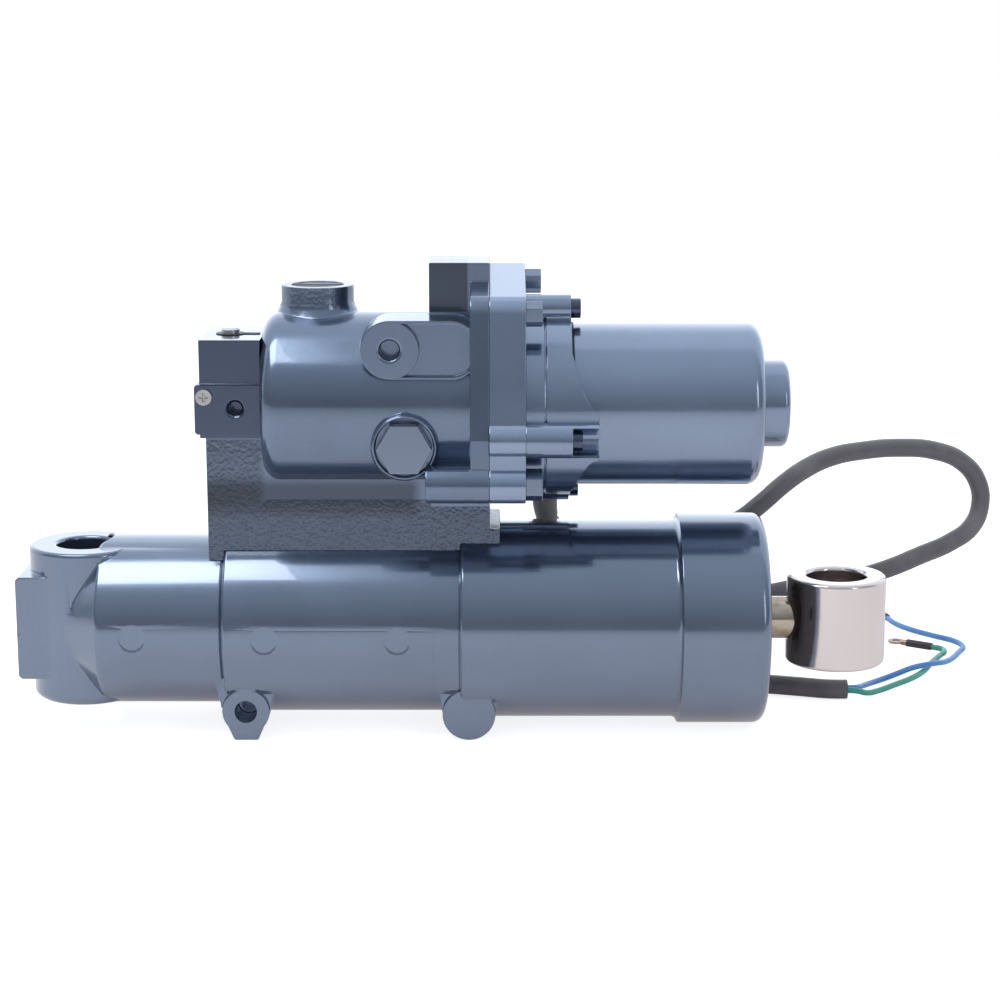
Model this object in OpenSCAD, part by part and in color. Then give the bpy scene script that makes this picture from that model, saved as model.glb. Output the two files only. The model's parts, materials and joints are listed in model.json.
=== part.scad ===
// Power trim and tilt unit: one hydraulic cylinder with its pump, valve block and motor on top.
// Origin at the centre of the base eye, X along the ram, Z along the bore of the eye, Y to the back.

/* [Cylinder] */
// Travel of the ram from fully in to fully out
stroke = 200; // [120:5:240]
// Bore of the cylinder
bore_d = 66; // [60:1:70]
// Wall of the barrel at its base section
base_wall = 7; // [5:0.5:9]
// Height of the middle section above the base section
mid_step = 4; // [2:0.5:6]
// Height of the head section above the middle section
head_step = 2.8; // [2:0.2:4]
// Height of the end collar above the head section
collar_step = 2.9; // [2:0.1:4]
// Length of the end collar
collar_len = 38; // [34:1:44]
// Length of the piston
piston_len = 24; // [20:1:28]
// Diameter of the ram rod
rod_d = 20; // [16:1:24]

/* [Eyes] */
// Bore of the base eye
base_eye_bore_d = 27; // [22:1:30]
// Wall round the base eye
base_eye_wall = 12.7; // [10:0.1:14]
// Length of the base eye along its bore
base_eye_len = 73; // [60:1:78]
// Bore of the ram eye
ram_eye_bore_d = 28; // [22:1:30]
// Wall round the ram eye
ram_eye_wall = 9.4; // [8:0.1:12]
// Length of the ram eye along its bore
ram_eye_len = 42; // [36:1:48]
// Gap between the cylinder and the ram eye when the ram is in
ram_eye_gap = 11.8; // [8:0.1:16]

/* [Pump] */
// Height of the pump axis above the top of the head section
pump_rise = 58.2; // [56:0.1:64]
// Distance from the base eye to the pump housing
pump_start = 86.5; // [80:0.5:92]
// Length of the pump housing up to its flange
pump_len = 95.5; // [88:0.5:104]
// Outer diameter of the pump housing
pump_d = 81.4; // [78:0.1:86]
// Wall of the pump housing
pump_wall = 7.7; // [5:0.1:9]
// Thickness of the housing flange
flange_t = 8.7; // [7:0.1:10]
// Thickness of the adapter plate
adapter_t = 16.3; // [14:0.1:20]
// Width of the cast bracket under the pump
bracket_w = 46; // [40:1:50]
// Teeth on each pump gear
gear_teeth = 12; // [11:1:14]
// Pitch radius of each pump gear
gear_pitch_r = 7.5; // [7:0.1:8]
// Pressure angle of the pump gears in degrees
gear_pressure_angle = 25; // [20:1:27]

/* [Valve block] */
// Width of the valve block along the cylinder
block_w = 30; // [28:0.5:34]
// Height of the proud lower part of the valve block
block_low_h = 23; // [20:1:26]
// Height of the upper part of the valve block
block_high_h = 20; // [16:1:24]
// Depth of the valve block from front to back
block_depth = 50; // [44:1:56]

/* [Motor] */
// Outer diameter of the motor can
can_d = 75.7; // [70:0.1:80]
// Length of the motor can
can_len = 87.8; // [80:0.1:100]
// Wall of the motor can
can_wall = 2; // [1.5:0.1:3]
// Thickness of the motor base
motor_base_t = 21; // [19:0.5:24]
// How far the motor axis lies below the pump axis
motor_drop = 2; // [0:0.1:3]
// Diameter of the motor shaft
shaft_d = 8; // [6:0.5:9]

/* [Cable] */
// Diameter of the motor cable
cable_d = 9.5; // [8:0.1:11]
// Diameter of each lead
lead_d = 2.9; // [2.4:0.1:3.4]

/* [Hidden] */
$fn = 96;
paint = [0.36, 0.43, 0.52];
steel = [0.72, 0.72, 0.74];
dark_steel = [0.35, 0.35, 0.38];
rubber = [0.12, 0.12, 0.13];
brass = [0.78, 0.62, 0.3];
copper = [0.75, 0.42, 0.25];
cut = 1;
run_gap = 0.05;
soft_gap = 0.3;

// Barrel, from the floor of the bore to the open end
bore_r = bore_d / 2;
base_r = bore_r + base_wall;
mid_r = base_r + mid_step;
head_r = mid_r + head_step;
collar_r = head_r + collar_step;
floor_z = -collar_r;
eye_bore_r = base_eye_bore_d / 2;
eye_r = eye_bore_r + base_eye_wall;
bore_floor_wall = 10.5;
bore_x0 = eye_bore_r + bore_floor_wall;
seat_gap = 1.5;
stop_gap = 0.5;
free_len = 24.5;
free_x0 = bore_x0 + seat_gap;
free_x1 = free_x0 + free_len;
piston_x0 = free_x1 + stop_gap;
piston_x1 = piston_x0 + piston_len;
gland_x0 = piston_x1 + stroke + stop_gap;
gland_nose_len = 14;
gland_head_len = 29.5;
gland_step_x = gland_x0 + gland_nose_len;
gland_x1 = gland_step_x + gland_head_len;
gland_recess = 1;
barrel_x1 = gland_x1 + gland_recess;
collar_x0 = barrel_x1 - collar_len;
flare_len = 5.5;
flare_x0 = collar_x0 - flare_len;
shoulder_x = 11;
shoulder_round = 3;
base_section_len = 44;
seam_x = bore_x0 + base_section_len;
second_seam_share = 0.5255;
second_seam_x = seam_x + second_seam_share * (flare_x0 - seam_x);
seam_w = 1.4;
seam_deep = 0.7;
collar_round = 5;
mark_x = 26.4;
mark_pitch = 61;
mark_r = 6.2;
mark_deep = 0.4;
neck_x = -7;
neck_in = 0.6;
neck_r = eye_r - neck_in;
eye_edge = 1.2;
bore_edge = 1;
eye_round = 4;
tail_x = -30;
tail_in = 4.5;
tail_half_w = eye_r - tail_in;
tail_half_h = 24.5;
tail_edge = 1.5;

// Bosses under the barrel, whose flats are what it lies on
lug_half_len = 36;
lug_out = 9.6;
lug_x = seam_x + lug_out;
lug_r = 11;
lug_hole_r = 5;
lug_hole_deep = 16;
lug_foot_h = 13.8;
lug_foot_half_w = 5.5;
lug_foot_top_shares = [0.88, 0.38];
lug_z = floor_z + lug_foot_h;
lug_web_w = 15;
lug_web_in = 2;
pad_out = 3.7;
pad_x = second_seam_x + pad_out;
pad_r = 12.3;
pad_z = floor_z + pad_r;

// Gland in the open end of the barrel
gland_clear = 0.1;
gland_step = 4.5;
gland_head_r = bore_r + gland_step;
rod_r = rod_d / 2;
seal_t = 4;
seal_groove_r = rod_r + seal_t;
seal_len = 6;
wiper_len = 6;
oring_wire_r = 1.75;
oring_groove_w = 4.2;
oring_groove_deep = 2 * oring_wire_r;
gland_oring_x = gland_x0 + gland_nose_len / 2;
spanner_hole_r = 3;
spanner_hole_deep = 5;
spanner_in = 9;
spanner_circle_r = gland_head_r - spanner_in;
spanner_holes = 4;

// Ram, with its piston, nut and eye
piston_clear = 0.15;
piston_r = bore_r - piston_clear;
ring_w = 5;
ring_deep = 4;
ring_x0 = (piston_x0 + piston_x1 - ring_w) / 2;
rod_shoulder = 3;
rod_tail_r = rod_r - rod_shoulder;
nut_h = 9;
nut_flat_w = 24;
nut_gap = 0.5;
nut_x0 = piston_x0 - nut_h;
nut_clear = 4;
nut_room_r = nut_flat_w / 2 + nut_clear;
free_ring_in = 5;
free_ring_x0 = free_x0 + free_ring_in;
shock_valve_r = 3;
shock_valve_len = 10;
shock_out = 2;
shock_circle_r = (piston_r - ring_deep + rod_r) / 2 + shock_out;
shock_valve_count = 3;
ram_eye_bore_r = ram_eye_bore_d / 2;
ram_eye_r = ram_eye_bore_r + ram_eye_wall;
ram_eye_x = barrel_x1 + ram_eye_gap + ram_eye_r;
ram_eye_edge = 1.2;
spot_clear = 0.2;
spot_deep = 0.5;
spot_face_r = rod_r + spot_clear;
spot_face_x = ram_eye_x - sqrt(pow(ram_eye_r, 2) - pow(spot_face_r, 2)) + spot_deep;
spigot_r = 7;
spigot_end_wall = 1.2;
spigot_x1 = ram_eye_x - ram_eye_bore_r - spigot_end_wall;

// Pump housing with its bracket, flange and pads
pump_z = head_r + pump_rise;
pump_r = pump_d / 2;
pump_x0 = pump_start;
pump_x1 = pump_x0 + pump_len;
flange_x1 = pump_x1 + flange_t;
adapter_x1 = flange_x1 + adapter_t;
cavity_r = pump_r - pump_wall;
cavity_end_wall = 8.5;
cavity_x0 = pump_x0 + cavity_end_wall;
pump_round = 8;
flange_rim = 5.3;
flange_r = pump_r + flange_rim;
bolt_circle_r = 55;
bolt_angles = [77.4, 126.9, 215.1, 324.9, 20];
bolt_ear_r = 8.5;
plate_side_r = 4.5;
ear_web_share = 0.94;
bolt_hole_r = 3.2;
bolt_r = 3;
bolt_thread_deep = 7;
bolt_head_h = 7.5;
bolt_head_w = 10;
big_head_w = 13;
big_bolt_index = 2;
bracket_front_out = 25.8;
bracket_end_out = 4.7;
bracket_x0 = pump_x0 - bracket_front_out;
bracket_x1 = flange_x1 + bracket_end_out;
bracket_half_w = bracket_w / 2;
column_drop = 14;
column_top_z = pump_z - column_drop;
toe_h = 0.8;
bracket_toe_z = head_r + toe_h;
saddle_gap = 0.05;
saddle_x1 = max(bracket_x1, second_seam_x);
filler_in = 24.2;
neck_axis_x = pump_x0 + filler_in;
neck_axis_y = 8;
filler_neck_r = 16.8;
filler_h = 12;
filler_top_z = pump_z + pump_r + filler_h;
filler_foot_h = 4;
filler_bore_r = 12;
filler_plug_h = 9;
filler_plug_sink = 0.4;
filler_slot_w = 3;
filler_slot_deep = 3;
crown_len = 19;
crown_x0 = pump_x1 - crown_len;
crown_y0 = -15;
crown_y1 = 18;
crown_h = 65;
crown_z1 = pump_z + crown_h;
slot_pad_in = 59.4;
slot_pad_rise = 28.5;
slot_pad_x = pump_x0 + slot_pad_in;
slot_pad_z = pump_z + slot_pad_rise;
slot_pad_len = 27.5;
slot_pad_r = 13.3;
slot_pad_sink = 0.7;
slot_pad_y = slot_pad_sink - pump_r;
slot_root_share = 0.29484;
slot_pad_root_y = -slot_root_share * pump_r;
slot_pocket_deep = 2.5;
slot_rim = 1.4;
pad_hole_r = 4.3;
pad_hole_deep = 10;
pad_hole_edge = 1.2;
plug_in = 65.9;
plug_drop = 15.1;
plug_x = pump_x0 + plug_in;
plug_z = pump_z - plug_drop;
plug_boss_r = 15.3;
plug_boss_out = 3.8;
plug_boss_y = -pump_r - plug_boss_out;
plug_edge = 2;
plug_well_r = 13.4;
plug_well_deep = 3.5;
plug_thread_r = 8;
plug_head_w = 22;
plug_head_h = 7;
plug_shank_len = 13.5;
plug_shank_end_y = plug_boss_y + plug_shank_len;
washer_t = 1;
ledge_in = 75.5;
ledge_x0 = pump_x0 + ledge_in;
ledge_r = bolt_ear_r;
ledge_y = bolt_circle_r * cos(bolt_angles[big_bolt_index]);
ledge_z = pump_z + bolt_circle_r * sin(bolt_angles[big_bolt_index]);
ledge_foot_drop = 42.7;
ledge_foot_z = pump_z - ledge_foot_drop;
ledge_foot_in = 4;

// Valve block on the column of the bracket
block_gasket_h = 2;
block_x1 = pump_x0;
block_x0 = block_x1 - block_w;
block_step = 2.1;
block_front_share = 0.56;
block_y0 = -block_front_share * block_depth;
block_y1 = block_y0 + block_depth;
block_z0 = column_top_z + block_gasket_h;
block_z1 = block_z0 + block_low_h;
block_z2 = block_z1 + block_high_h;
block_edge = 1;
block_high_in = 3.1;
block_hole_in = 11.5;
block_hole_rise = 12;
block_hole_x = block_x1 - block_hole_in;
block_hole_z = block_z0 + block_hole_rise;
block_hole_r = 3;
block_hole_deep = 9;
block_hole_edge = 1.4;
screw_in = 4.5;
screw_drop = 5.5;
screw_x = block_x0 + screw_in;
screw_z = block_z1 - screw_drop;
screw_head_r = 3.7;
screw_head_h = 1.6;
screw_r = 2;
screw_len = 14;
cross_w = 0.9;
cross_len = 4.4;
cross_deep = 1;
valve_in = 14.5;
valve_x = block_x0 + valve_in;
valve_y = (block_y0 + block_y1) / 2;
valve_r = 5;
valve_head_h = 2.2;
valve_room_r = valve_r + run_gap;
valve_deep = 22;
valve_head_r = 4.2;
valve_slot_w = 1.4;
circlip_t = 1;
circlip_r = 6.6;
circlip_ear_w = 4;
circlip_ear_len = 7;
circlip_sink = 0.6;
spool_in = 10;
spool_rise = 8;
spool_x = block_x0 + spool_in;
spool_z = block_z0 + spool_rise;
spool_y = valve_y;
spool_r = 4.5;
spool_half_len = 6;
spool_travel = 1.5;
spool_waist_share = 0.6;
spool_pin_r = 1.4;
spool_pin_len = 1.2;
land_r = 2.6;
land_len = 2.5;
check_r = 3.9;
check_len = 5;
check_nose_len = 1.6;
check_room_r = 4.2;
check_spring_len = 4.5;
check_spring_r = 2.6;
check_wire_r = 0.45;
check_turns = 4;
cap_r = 5.5;
cap_socket_w = 5;
cap_socket_deep = 3;
spool_end_gap = 0.6;
spool_room = spool_half_len + spool_travel + spool_end_gap;
check_face = spool_room + land_len;
check_back = check_face + check_len;
spring_back = check_back + check_spring_len;
relief_in = 9;
relief_rise = 9;
relief_x = block_x0 + relief_in;
relief_z = block_z1 + relief_rise;
relief_r = 4.5;
relief_len = 16;
relief_rim_r = 6;
relief_rim_h = 3;

// Gear pump inside the housing
motor_z = pump_z - motor_drop;
gear_centre_gap = 2 * gear_pitch_r;
driven_z = motor_z - gear_centre_gap;
gear_case_z = motor_z - gear_pitch_r;
gear_case_len = 20.7;
gear_case_x0 = flange_x1 - gear_case_len;
gear_x0 = gear_case_x0 + run_gap;
gear_w = 10;
gear_x1 = gear_x0 + gear_w;
gear_pocket_x1 = gear_x1 + run_gap;
gear_module = 2 * gear_pitch_r / gear_teeth;
addendum_share = 0.9;
dedendum_share = 1.25;
gear_tip_r = gear_pitch_r + addendum_share * gear_module;
gear_root_r = gear_pitch_r - dedendum_share * gear_module;
gear_base_r = gear_pitch_r * cos(gear_pressure_angle);
gear_backlash = 0.25;
flank_steps = 4;
gear_shaft_r = 3.5;
cover_t = 8;
cover_x0 = gear_case_x0 - cover_t;
shaft_blind = 2;
pump_screw_r = 2.4;
pump_screw_angles = [30, 150, 210, 330];
pump_screw_head_r = 4.2;
pump_screw_head_h = 4;
pump_screw_deep = 12;
filter_gap = 0.3;
filter_t = 1;
filter_in = 2;
filter_x0 = gear_case_x0 + filter_in;
filter_len = 15;
filter_rim = 2;
filter_rim_t = 0.9;
gear_case_r = cavity_r - motor_drop - gear_pitch_r - filter_gap - filter_t - filter_rim_t
    - soft_gap;
pump_screw_in = 4.5;
pump_screw_circle_r = gear_case_r - pump_screw_in;

// Motor: base, can, armature, magnets and brushes
motor_base_x0 = adapter_x1;
motor_base_x1 = motor_base_x0 + motor_base_t;
motor_base_rim = 4.6;
motor_base_r = can_d / 2 + motor_base_rim;
base_groove_in = 9;
base_groove_x = motor_base_x0 + base_groove_in;
base_groove_w = 0.8;
base_groove_deep = 0.8;
motor_screw_out = 7.65;
motor_screw_circle_r = can_d / 2 + motor_screw_out;
motor_screw_angles = [12, 97, 192, 290];
front_screw_index = 2;
motor_ear_r = 6.4;
front_ear_r = 8;
motor_screw_r = 2.4;
motor_screw_head_r = 4.6;
motor_screw_head_h = 4.5;
fairing_len = 12;
fairing_wide_r = 40;
fairing_thin_r = 13;
fairing_skin = 0.1;
flare_steps = 6;
flare_power = 2.2;
fairing_pocket_r = 6.2;
can_r = can_d / 2;
can_gap = 1;
can_x0 = motor_base_x1 + can_gap;
can_x1 = can_x0 + can_len - can_gap;
can_round = 6;
can_spigot_len = 5;
can_end_r = 20.3;
can_end_len = 13;
can_end_round = 3;
can_end_bore_r = 11;
can_end_wall = 2.5;
can_end_x1 = can_x1 + can_end_len;
shaft_r = shaft_d / 2;
tang_t = 4;
tang_gap = 0.25;
coupling_r = 8;
coupling_in = 2;
coupling_len = 12;
coupling_x0 = flange_x1 + coupling_in;
coupling_x1 = coupling_x0 + coupling_len;
coupling_mid_x = (coupling_x0 + coupling_x1) / 2;
coupling_bore_r = 10;
tang_end_gap = 0.5;
seal_pocket_r = 12;
seal_pocket_len = 6;
base_web_r = 6;
bearing_r = 11;
bearing_len = 8;
bearing_x0 = motor_base_x1 - bearing_len;
rear_bearing_len = 9;
rear_bearing_in = 1.5;
rear_bearing_x0 = can_x1 - can_wall + rear_bearing_in;
magnet_gap = 0.2;
magnet_t = 5.5;
magnet_angle = 130;
magnet_in = 21;
magnet_x0 = can_x0 + magnet_in;
magnet_len = 48;
air_gap = 1.35;
core_r = can_r - can_wall - magnet_gap - magnet_t - air_gap;
core_in = 23;
core_x0 = can_x0 + core_in;
core_len = 44;
core_slots = 12;
slot_w = 4.6;
slot_mouth_w = 2;
slot_lip = 2.8;
slot_out_r = core_r - slot_lip;
slot_in_share = 0.5208;
slot_in_r = slot_in_share * core_r;
slot_mouth_out = 1.5;
fit_gap = 0.02;
winding_in = 4.3;
winding_r = core_r - winding_in;
winding_in_r = 9;
winding_len = 8;
winding_round = 3;
commutator_r = 11;
commutator_in = 2.5;
commutator_x0 = can_x0 + commutator_in;
commutator_len = 11;
commutator_cuts = 12;
commutator_cut_w = 0.6;
commutator_cut_deep = 0.8;
holder_t = 2;
holder_r = can_r - can_wall - soft_gap;
holder_bore_r = 13;
brush_w = 8;
brush_t = 6;
brush_gap = 0.1;
brush_in = 1.6;
brush_x0 = commutator_x0 + brush_in;
brush_box_wall = 1.2;
brush_box_gap = 1.5;
brush_box_y = commutator_r + brush_box_gap;
brush_box_rim = 6.05;
brush_box_len = holder_r - brush_box_y - brush_box_rim;
brush_len_share = 0.53;
brush_len = brush_len_share * brush_box_len;
brush_spring_r = 2.2;
brush_wire_r = 0.4;
brush_turns = 5;
helix_step = 45;
spring_sides = 6;

// Motor cable, its two leads and their terminals
cable_r = cable_d / 2;
cable_sides = 10;
lead_r = lead_d / 2;
lead_sides = 8;
grommet_in = 10;
grommet_x = motor_base_x0 + grommet_in;
grommet_y = 29;
grommet_r = 6.4;
grommet_rim_r = 7.6;
grommet_rim_h = 2;
grommet_sink = 19;
grommet_top_z = motor_z - grommet_sink;
grommet_len = 28;
grommet_z0 = grommet_top_z - grommet_len;
cable_points = [[217, 29, 56], [217, 29, 51.5], [217.5, 32.5, 45], [220, 39, 37.5],
    [226, 45, 31.5], [236, 50.5, 27], [249, 54.5, 24.5], [265, 57, 23], [282, 57.5, 24],
    [300, 56.5, 28.5], [314, 55.5, 35], [325, 56, 43.5], [335, 59.5, 51.5], [347, 66, 58.5],
    [361, 74.5, 63], [378, 84.5, 64.3], [399, 95, 63.8], [418.5, 103.5, 60.7],
    [434, 110, 53.5], [443.5, 113, 42.3], [445.5, 113, 30], [440.5, 110, 19.5],
    [428.5, 104.5, 12.3], [412, 97, 7.2], [393, 88.5, 1.8], [374, 81, -1.5], [355, 75, -3],
    [336, 71, -5.5], [317, 71, -10], [298, 74, -17.5], [280, 80, -26.5], [264, 88.5, -35],
    [249, 99, -41.5], [236, 109.5, -44.5], [222, 117, -44.9], [207, 117, -44.9],
    [193, 110, -44.9], [184, 97, -44.9], [182, 81, -44.9], [187, 66, -44.9],
    [198, 54, -44.9], [213, 47, -44.9], [231, 44, -44.9], [254, 44, -44.9],
    [280, 44, -44.9], [305, 43, -44.9], [326, 40, -44.9], [343, 35.5, -44.9],
    [356, 31.5, -44.9], [361, 31, -44.9],
    [366, 31, -44.9]];
blue_points = [[366, 33, -44.9], [368, 33, -44.9], [370.5, 34, -45.1], [375, 41.5, -46.4],
    [381, 51.5, -47.8], [389, 60.5, -48.2], [397.5, 67, -47.2], [405, 71, -45.6],
    [412, 74, -44.9], [418.5, 79, -45.4], [424.5, 87, -47], [430.5, 97.5, -48.1],
    [436, 109, -48.2], [440.5, 120, -48.2], [438.5, 131, -48.2], [428.5, 143, -48.2],
    [419, 155, -48.2], [413, 167, -48.2], [410, 180, -48.2]];
green_points = [[366, 28.9, -44.9], [368, 28.9, -44.9], [370.5, 29.2, -45.2],
    [376, 32.5, -47.2], [383, 39.5, -48.2], [393, 50, -48.2], [403, 61, -48.2],
    [411.5, 74, -48.2], [418, 89, -48.2], [425, 103, -48.2], [429, 111, -48.2],
    [428.3, 116.5, -48.2], [424, 120, -48.2]];
sleeve_len = 14;
sleeve_r = 2.1;
terminal_barrel_len = 3;
terminal_barrel_r = 1.5;
terminal_r = 4.2;
terminal_hole_r = 2.1;
terminal_t = 1;
terminal_lap = 0.8;

// Cylinders along each axis, and outlines pushed along an axis
module rod_x(x0, x1, r, y = 0, z = 0) {
    translate([x0, y, z]) rotate([0, 90, 0]) cylinder(h = x1 - x0, r = r);
}
module rod_y(y0, y1, r, x = 0, z = 0) {
    translate([x, y0, z]) rotate([-90, 0, 0]) cylinder(h = y1 - y0, r = r);
}
module rod_z(z0, z1, r, x = 0, y = 0) {
    translate([x, y, z0]) cylinder(h = z1 - z0, r = r);
}
module tube_x(x0, x1, r, hole_r, y = 0, z = 0) {
    difference() {
        rod_x(x0, x1, r, y, z);
        rod_x(x0 - cut, x1 + cut, hole_r, y, z);
    }
}
module box(x0, x1, y0, y1, z0, z1) {
    translate([x0, y0, z0]) cube([x1 - x0, y1 - y0, z1 - z0]);
}
module slab_x(x0, x1) {
    translate([x0, 0, 0]) rotate([90, 0, 90]) linear_extrude(x1 - x0) children();
}
module slab_y(y0, y1) {
    translate([0, y1, 0]) rotate([90, 0, 0]) linear_extrude(y1 - y0) children();
}
// A solid turned about X at height z, from points of radius and place along X
module turned_x(points, z = 0, y = 0) {
    translate([0, y, z]) rotate([0, 90, 0]) rotate_extrude() polygon(points);
}
module hex_x(x0, x1, flat_w, y, z) {
    translate([x0, y, z]) rotate([0, 90, 0]) cylinder(h = x1 - x0, r = flat_w / sqrt(3), $fn = 6);
}
function arc(centre, r, from, to, steps = 6) =
    [for (i = [0:steps]) centre + r * [cos(from + (to - from) * i / steps),
        sin(from + (to - from) * i / steps)]];
function on_circle(r, angle, z) = [r * cos(angle), z + r * sin(angle)];

// Tubes swept along points, with rings that turn as little as the route lets them
function unit(v) = v / norm(v);
function tangent(p, i) = unit(p[min(i + 1, len(p) - 1)] - p[max(i - 1, 0)]);
function turned(n, t) = unit(n - (n * t) * t);
function side_of(t) = abs(t[2]) < 0.9 ? [0, 0, 1] : [1, 0, 0];
function normals(p) = [for (i = 0, n = turned(side_of(tangent(p, 0)), tangent(p, 0));
    i < len(p); i = i + 1, n = i < len(p) ? turned(n, tangent(p, i)) : n) n];
function between(a, b, c, d, t) = (2 * b + (c - a) * t + (2 * a - 5 * b + 4 * c - d) * t * t
    + (3 * b - a - 3 * c + d) * t * t * t) / 2;
function smooth(p, steps) = concat([for (i = [0:len(p) - 2], s = [0:steps - 1])
    between(p[max(i - 1, 0)], p[i], p[i + 1], p[min(i + 2, len(p) - 1)], s / steps)],
    [p[len(p) - 1]]);
module swept(p, r, sides) {
    n = normals(p);
    rings = len(p);
    points = [for (i = [0:rings - 1], s = [0:sides - 1])
        p[i] + r * (cos(360 * s / sides) * n[i]
            + sin(360 * s / sides) * cross(tangent(p, i), n[i]))];
    walls = [for (i = [0:rings - 2], s = [0:sides - 1]) each [
        [i * sides + s, (i + 1) * sides + s, i * sides + (s + 1) % sides],
        [i * sides + (s + 1) % sides, (i + 1) * sides + s, (i + 1) * sides + (s + 1) % sides]]];
    ends = [[for (s = [0:sides - 1]) s],
        [for (s = [sides - 1:-1:0]) (rings - 1) * sides + s]];
    polyhedron(points, concat(walls, ends), convexity = 10);
}
// A helical spring along Z from zero to its length
function helix(r, length, turns) = [for (a = [0:helix_step:360 * turns])
    [r * cos(a), r * sin(a), length * a / (360 * turns)]];
module spring(r, wire_r, length, turns) {
    translate([0, 0, wire_r]) swept(helix(r, length - 2 * wire_r, turns), wire_r, spring_sides);
}

// Barrel with the base eye, the tail block and the bosses underneath
module cylinder_body() {
    color(paint) difference() {
        union() {
            barrel_outside();
            base_eye_outside();
            lug_outside(lug_x, lug_z, lug_r);
            lug_foot();
            lug_outside(pad_x, pad_z, pad_r);
        }
        rod_x(bore_x0, gland_step_x, bore_r);
        rod_x(gland_step_x - run_gap, barrel_x1 + cut, gland_head_r);
        rod_z(-base_eye_len, base_eye_len, eye_bore_r);
        for (s = [-1, 1]) translate([0, 0, s * base_eye_len / 2]) mirror([0, 0, s < 0 ? 1 : 0])
            translate([0, 0, -bore_edge]) cylinder(h = bore_edge, r1 = eye_bore_r,
                r2 = eye_bore_r + bore_edge);
        rod_y(-lug_half_len - cut, lug_hole_deep - lug_half_len, lug_hole_r, lug_x, lug_z);
        rod_y(lug_half_len - lug_hole_deep, lug_half_len + cut, lug_hole_r, lug_x, lug_z);
        moulding_mark(mark_x, base_r);
        for (i = [1:2]) moulding_mark(mark_x + i * mark_pitch, mid_r);
    }
}
// A flat spot that an ejector pin of the mould left in the front of the barrel
module moulding_mark(x, r) {
    rod_y(-r - cut, mark_deep - r, mark_r, x, 0);
}
module barrel_outside() {
    turned_x(concat([[0, neck_x], [neck_r, neck_x]],
        arc([base_r - shoulder_round, shoulder_x], shoulder_round, -50, 0),
        [[base_r, seam_x - seam_w], [base_r - seam_deep, seam_x - seam_w / 2],
            [base_r - seam_deep, seam_x], [mid_r - seam_deep, seam_x],
            [mid_r, seam_x + seam_deep],
            [mid_r, second_seam_x - seam_w], [mid_r - seam_deep, second_seam_x],
            [head_r - seam_deep, second_seam_x], [head_r, second_seam_x + seam_deep]],
        arc([collar_r, flare_x0], collar_step, 180, 90),
        [[collar_r, collar_x0]],
        arc([collar_r - collar_round, barrel_x1 - collar_round], collar_round, 0, 90),
        [[0, barrel_x1]]));
}
module base_eye_outside() {
    half = base_eye_len / 2;
    rotate_extrude() polygon(concat([[0, -half]],
        arc([eye_r - eye_round, eye_round - half], eye_round, -90, 0),
        [[eye_r, half - eye_edge], [eye_r - eye_edge, half], [0, half]]));
    slab_y(-tail_half_w, tail_half_w) polygon([[0, -tail_half_h],
        [tail_x + tail_edge, -tail_half_h], [tail_x, tail_edge - tail_half_h],
        [tail_x, tail_half_h - tail_edge], [tail_x + tail_edge, tail_half_h],
        [0, tail_half_h]]);
}
module lug_outside(x, z, r) {
    rod_y(-lug_half_len, lug_half_len, r, x, z);
    slab_y(lug_web_in - lug_half_len, lug_half_len - lug_web_in) polygon([[x - r, z],
        [x + r, z], [x + lug_web_w, -base_r / 2], [x - lug_web_w, -base_r / 2]]);
}

module lug_foot() {
    half = lug_foot_top_shares[0] * lug_r;
    top_z = lug_z - lug_foot_top_shares[1] * lug_r;
    slab_y(-lug_half_len, lug_half_len) polygon([[lug_x - half, top_z],
        [lug_x - lug_foot_half_w, floor_z], [lug_x + lug_foot_half_w, floor_z],
        [lug_x + half, top_z]]);
}

// Gland that closes the barrel and guides the rod
module cylinder_gland() {
    nose_r = bore_r - gland_clear;
    color(dark_steel) difference() {
        union() {
            rod_x(gland_x0, gland_step_x, nose_r);
            rod_x(gland_step_x, gland_x1, gland_head_r - gland_clear);
        }
        rod_x(gland_x0 - cut, gland_x1 + cut, rod_r + run_gap);
        rod_x(gland_step_x, gland_step_x + seal_len, seal_groove_r);
        rod_x(gland_x1 - wiper_len, gland_x1 + cut, seal_groove_r);
        tube_x(gland_oring_x - oring_groove_w / 2, gland_oring_x + oring_groove_w / 2,
            bore_r + cut, bore_r - oring_groove_deep);
        for (i = [0:spanner_holes - 1]) rotate([360 * i / spanner_holes, 0, 0])
            rod_x(gland_x1 - spanner_hole_deep, gland_x1 + cut, spanner_hole_r,
                spanner_circle_r, 0);
    }
}
module ring_section_x(x, ring_r, wire_r, z = 0) {
    translate([x, 0, z]) rotate([0, 90, 0]) rotate_extrude()
        translate([ring_r, 0]) circle(r = wire_r, $fn = 32);
}
module gland_oring() {
    color(rubber) ring_section_x(gland_oring_x, bore_r - oring_wire_r, oring_wire_r);
}
module rod_seal() {
    color(rubber) tube_x(gland_step_x, gland_step_x + seal_len, seal_groove_r,
        rod_r + run_gap);
}
module rod_wiper() {
    x0 = gland_x1 - wiper_len;
    lip = wiper_len / 2;
    inner_r = rod_r + run_gap;
    color(rubber) turned_x([[inner_r, x0], [seal_groove_r, x0], [seal_groove_r, gland_x1],
        [inner_r + lip, gland_x1], [inner_r + lip / 2, gland_x1 - lip / 2],
        [inner_r + lip / 2, gland_x1 + lip / 2], [inner_r, gland_x1 + lip / 2]]);
}

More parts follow.
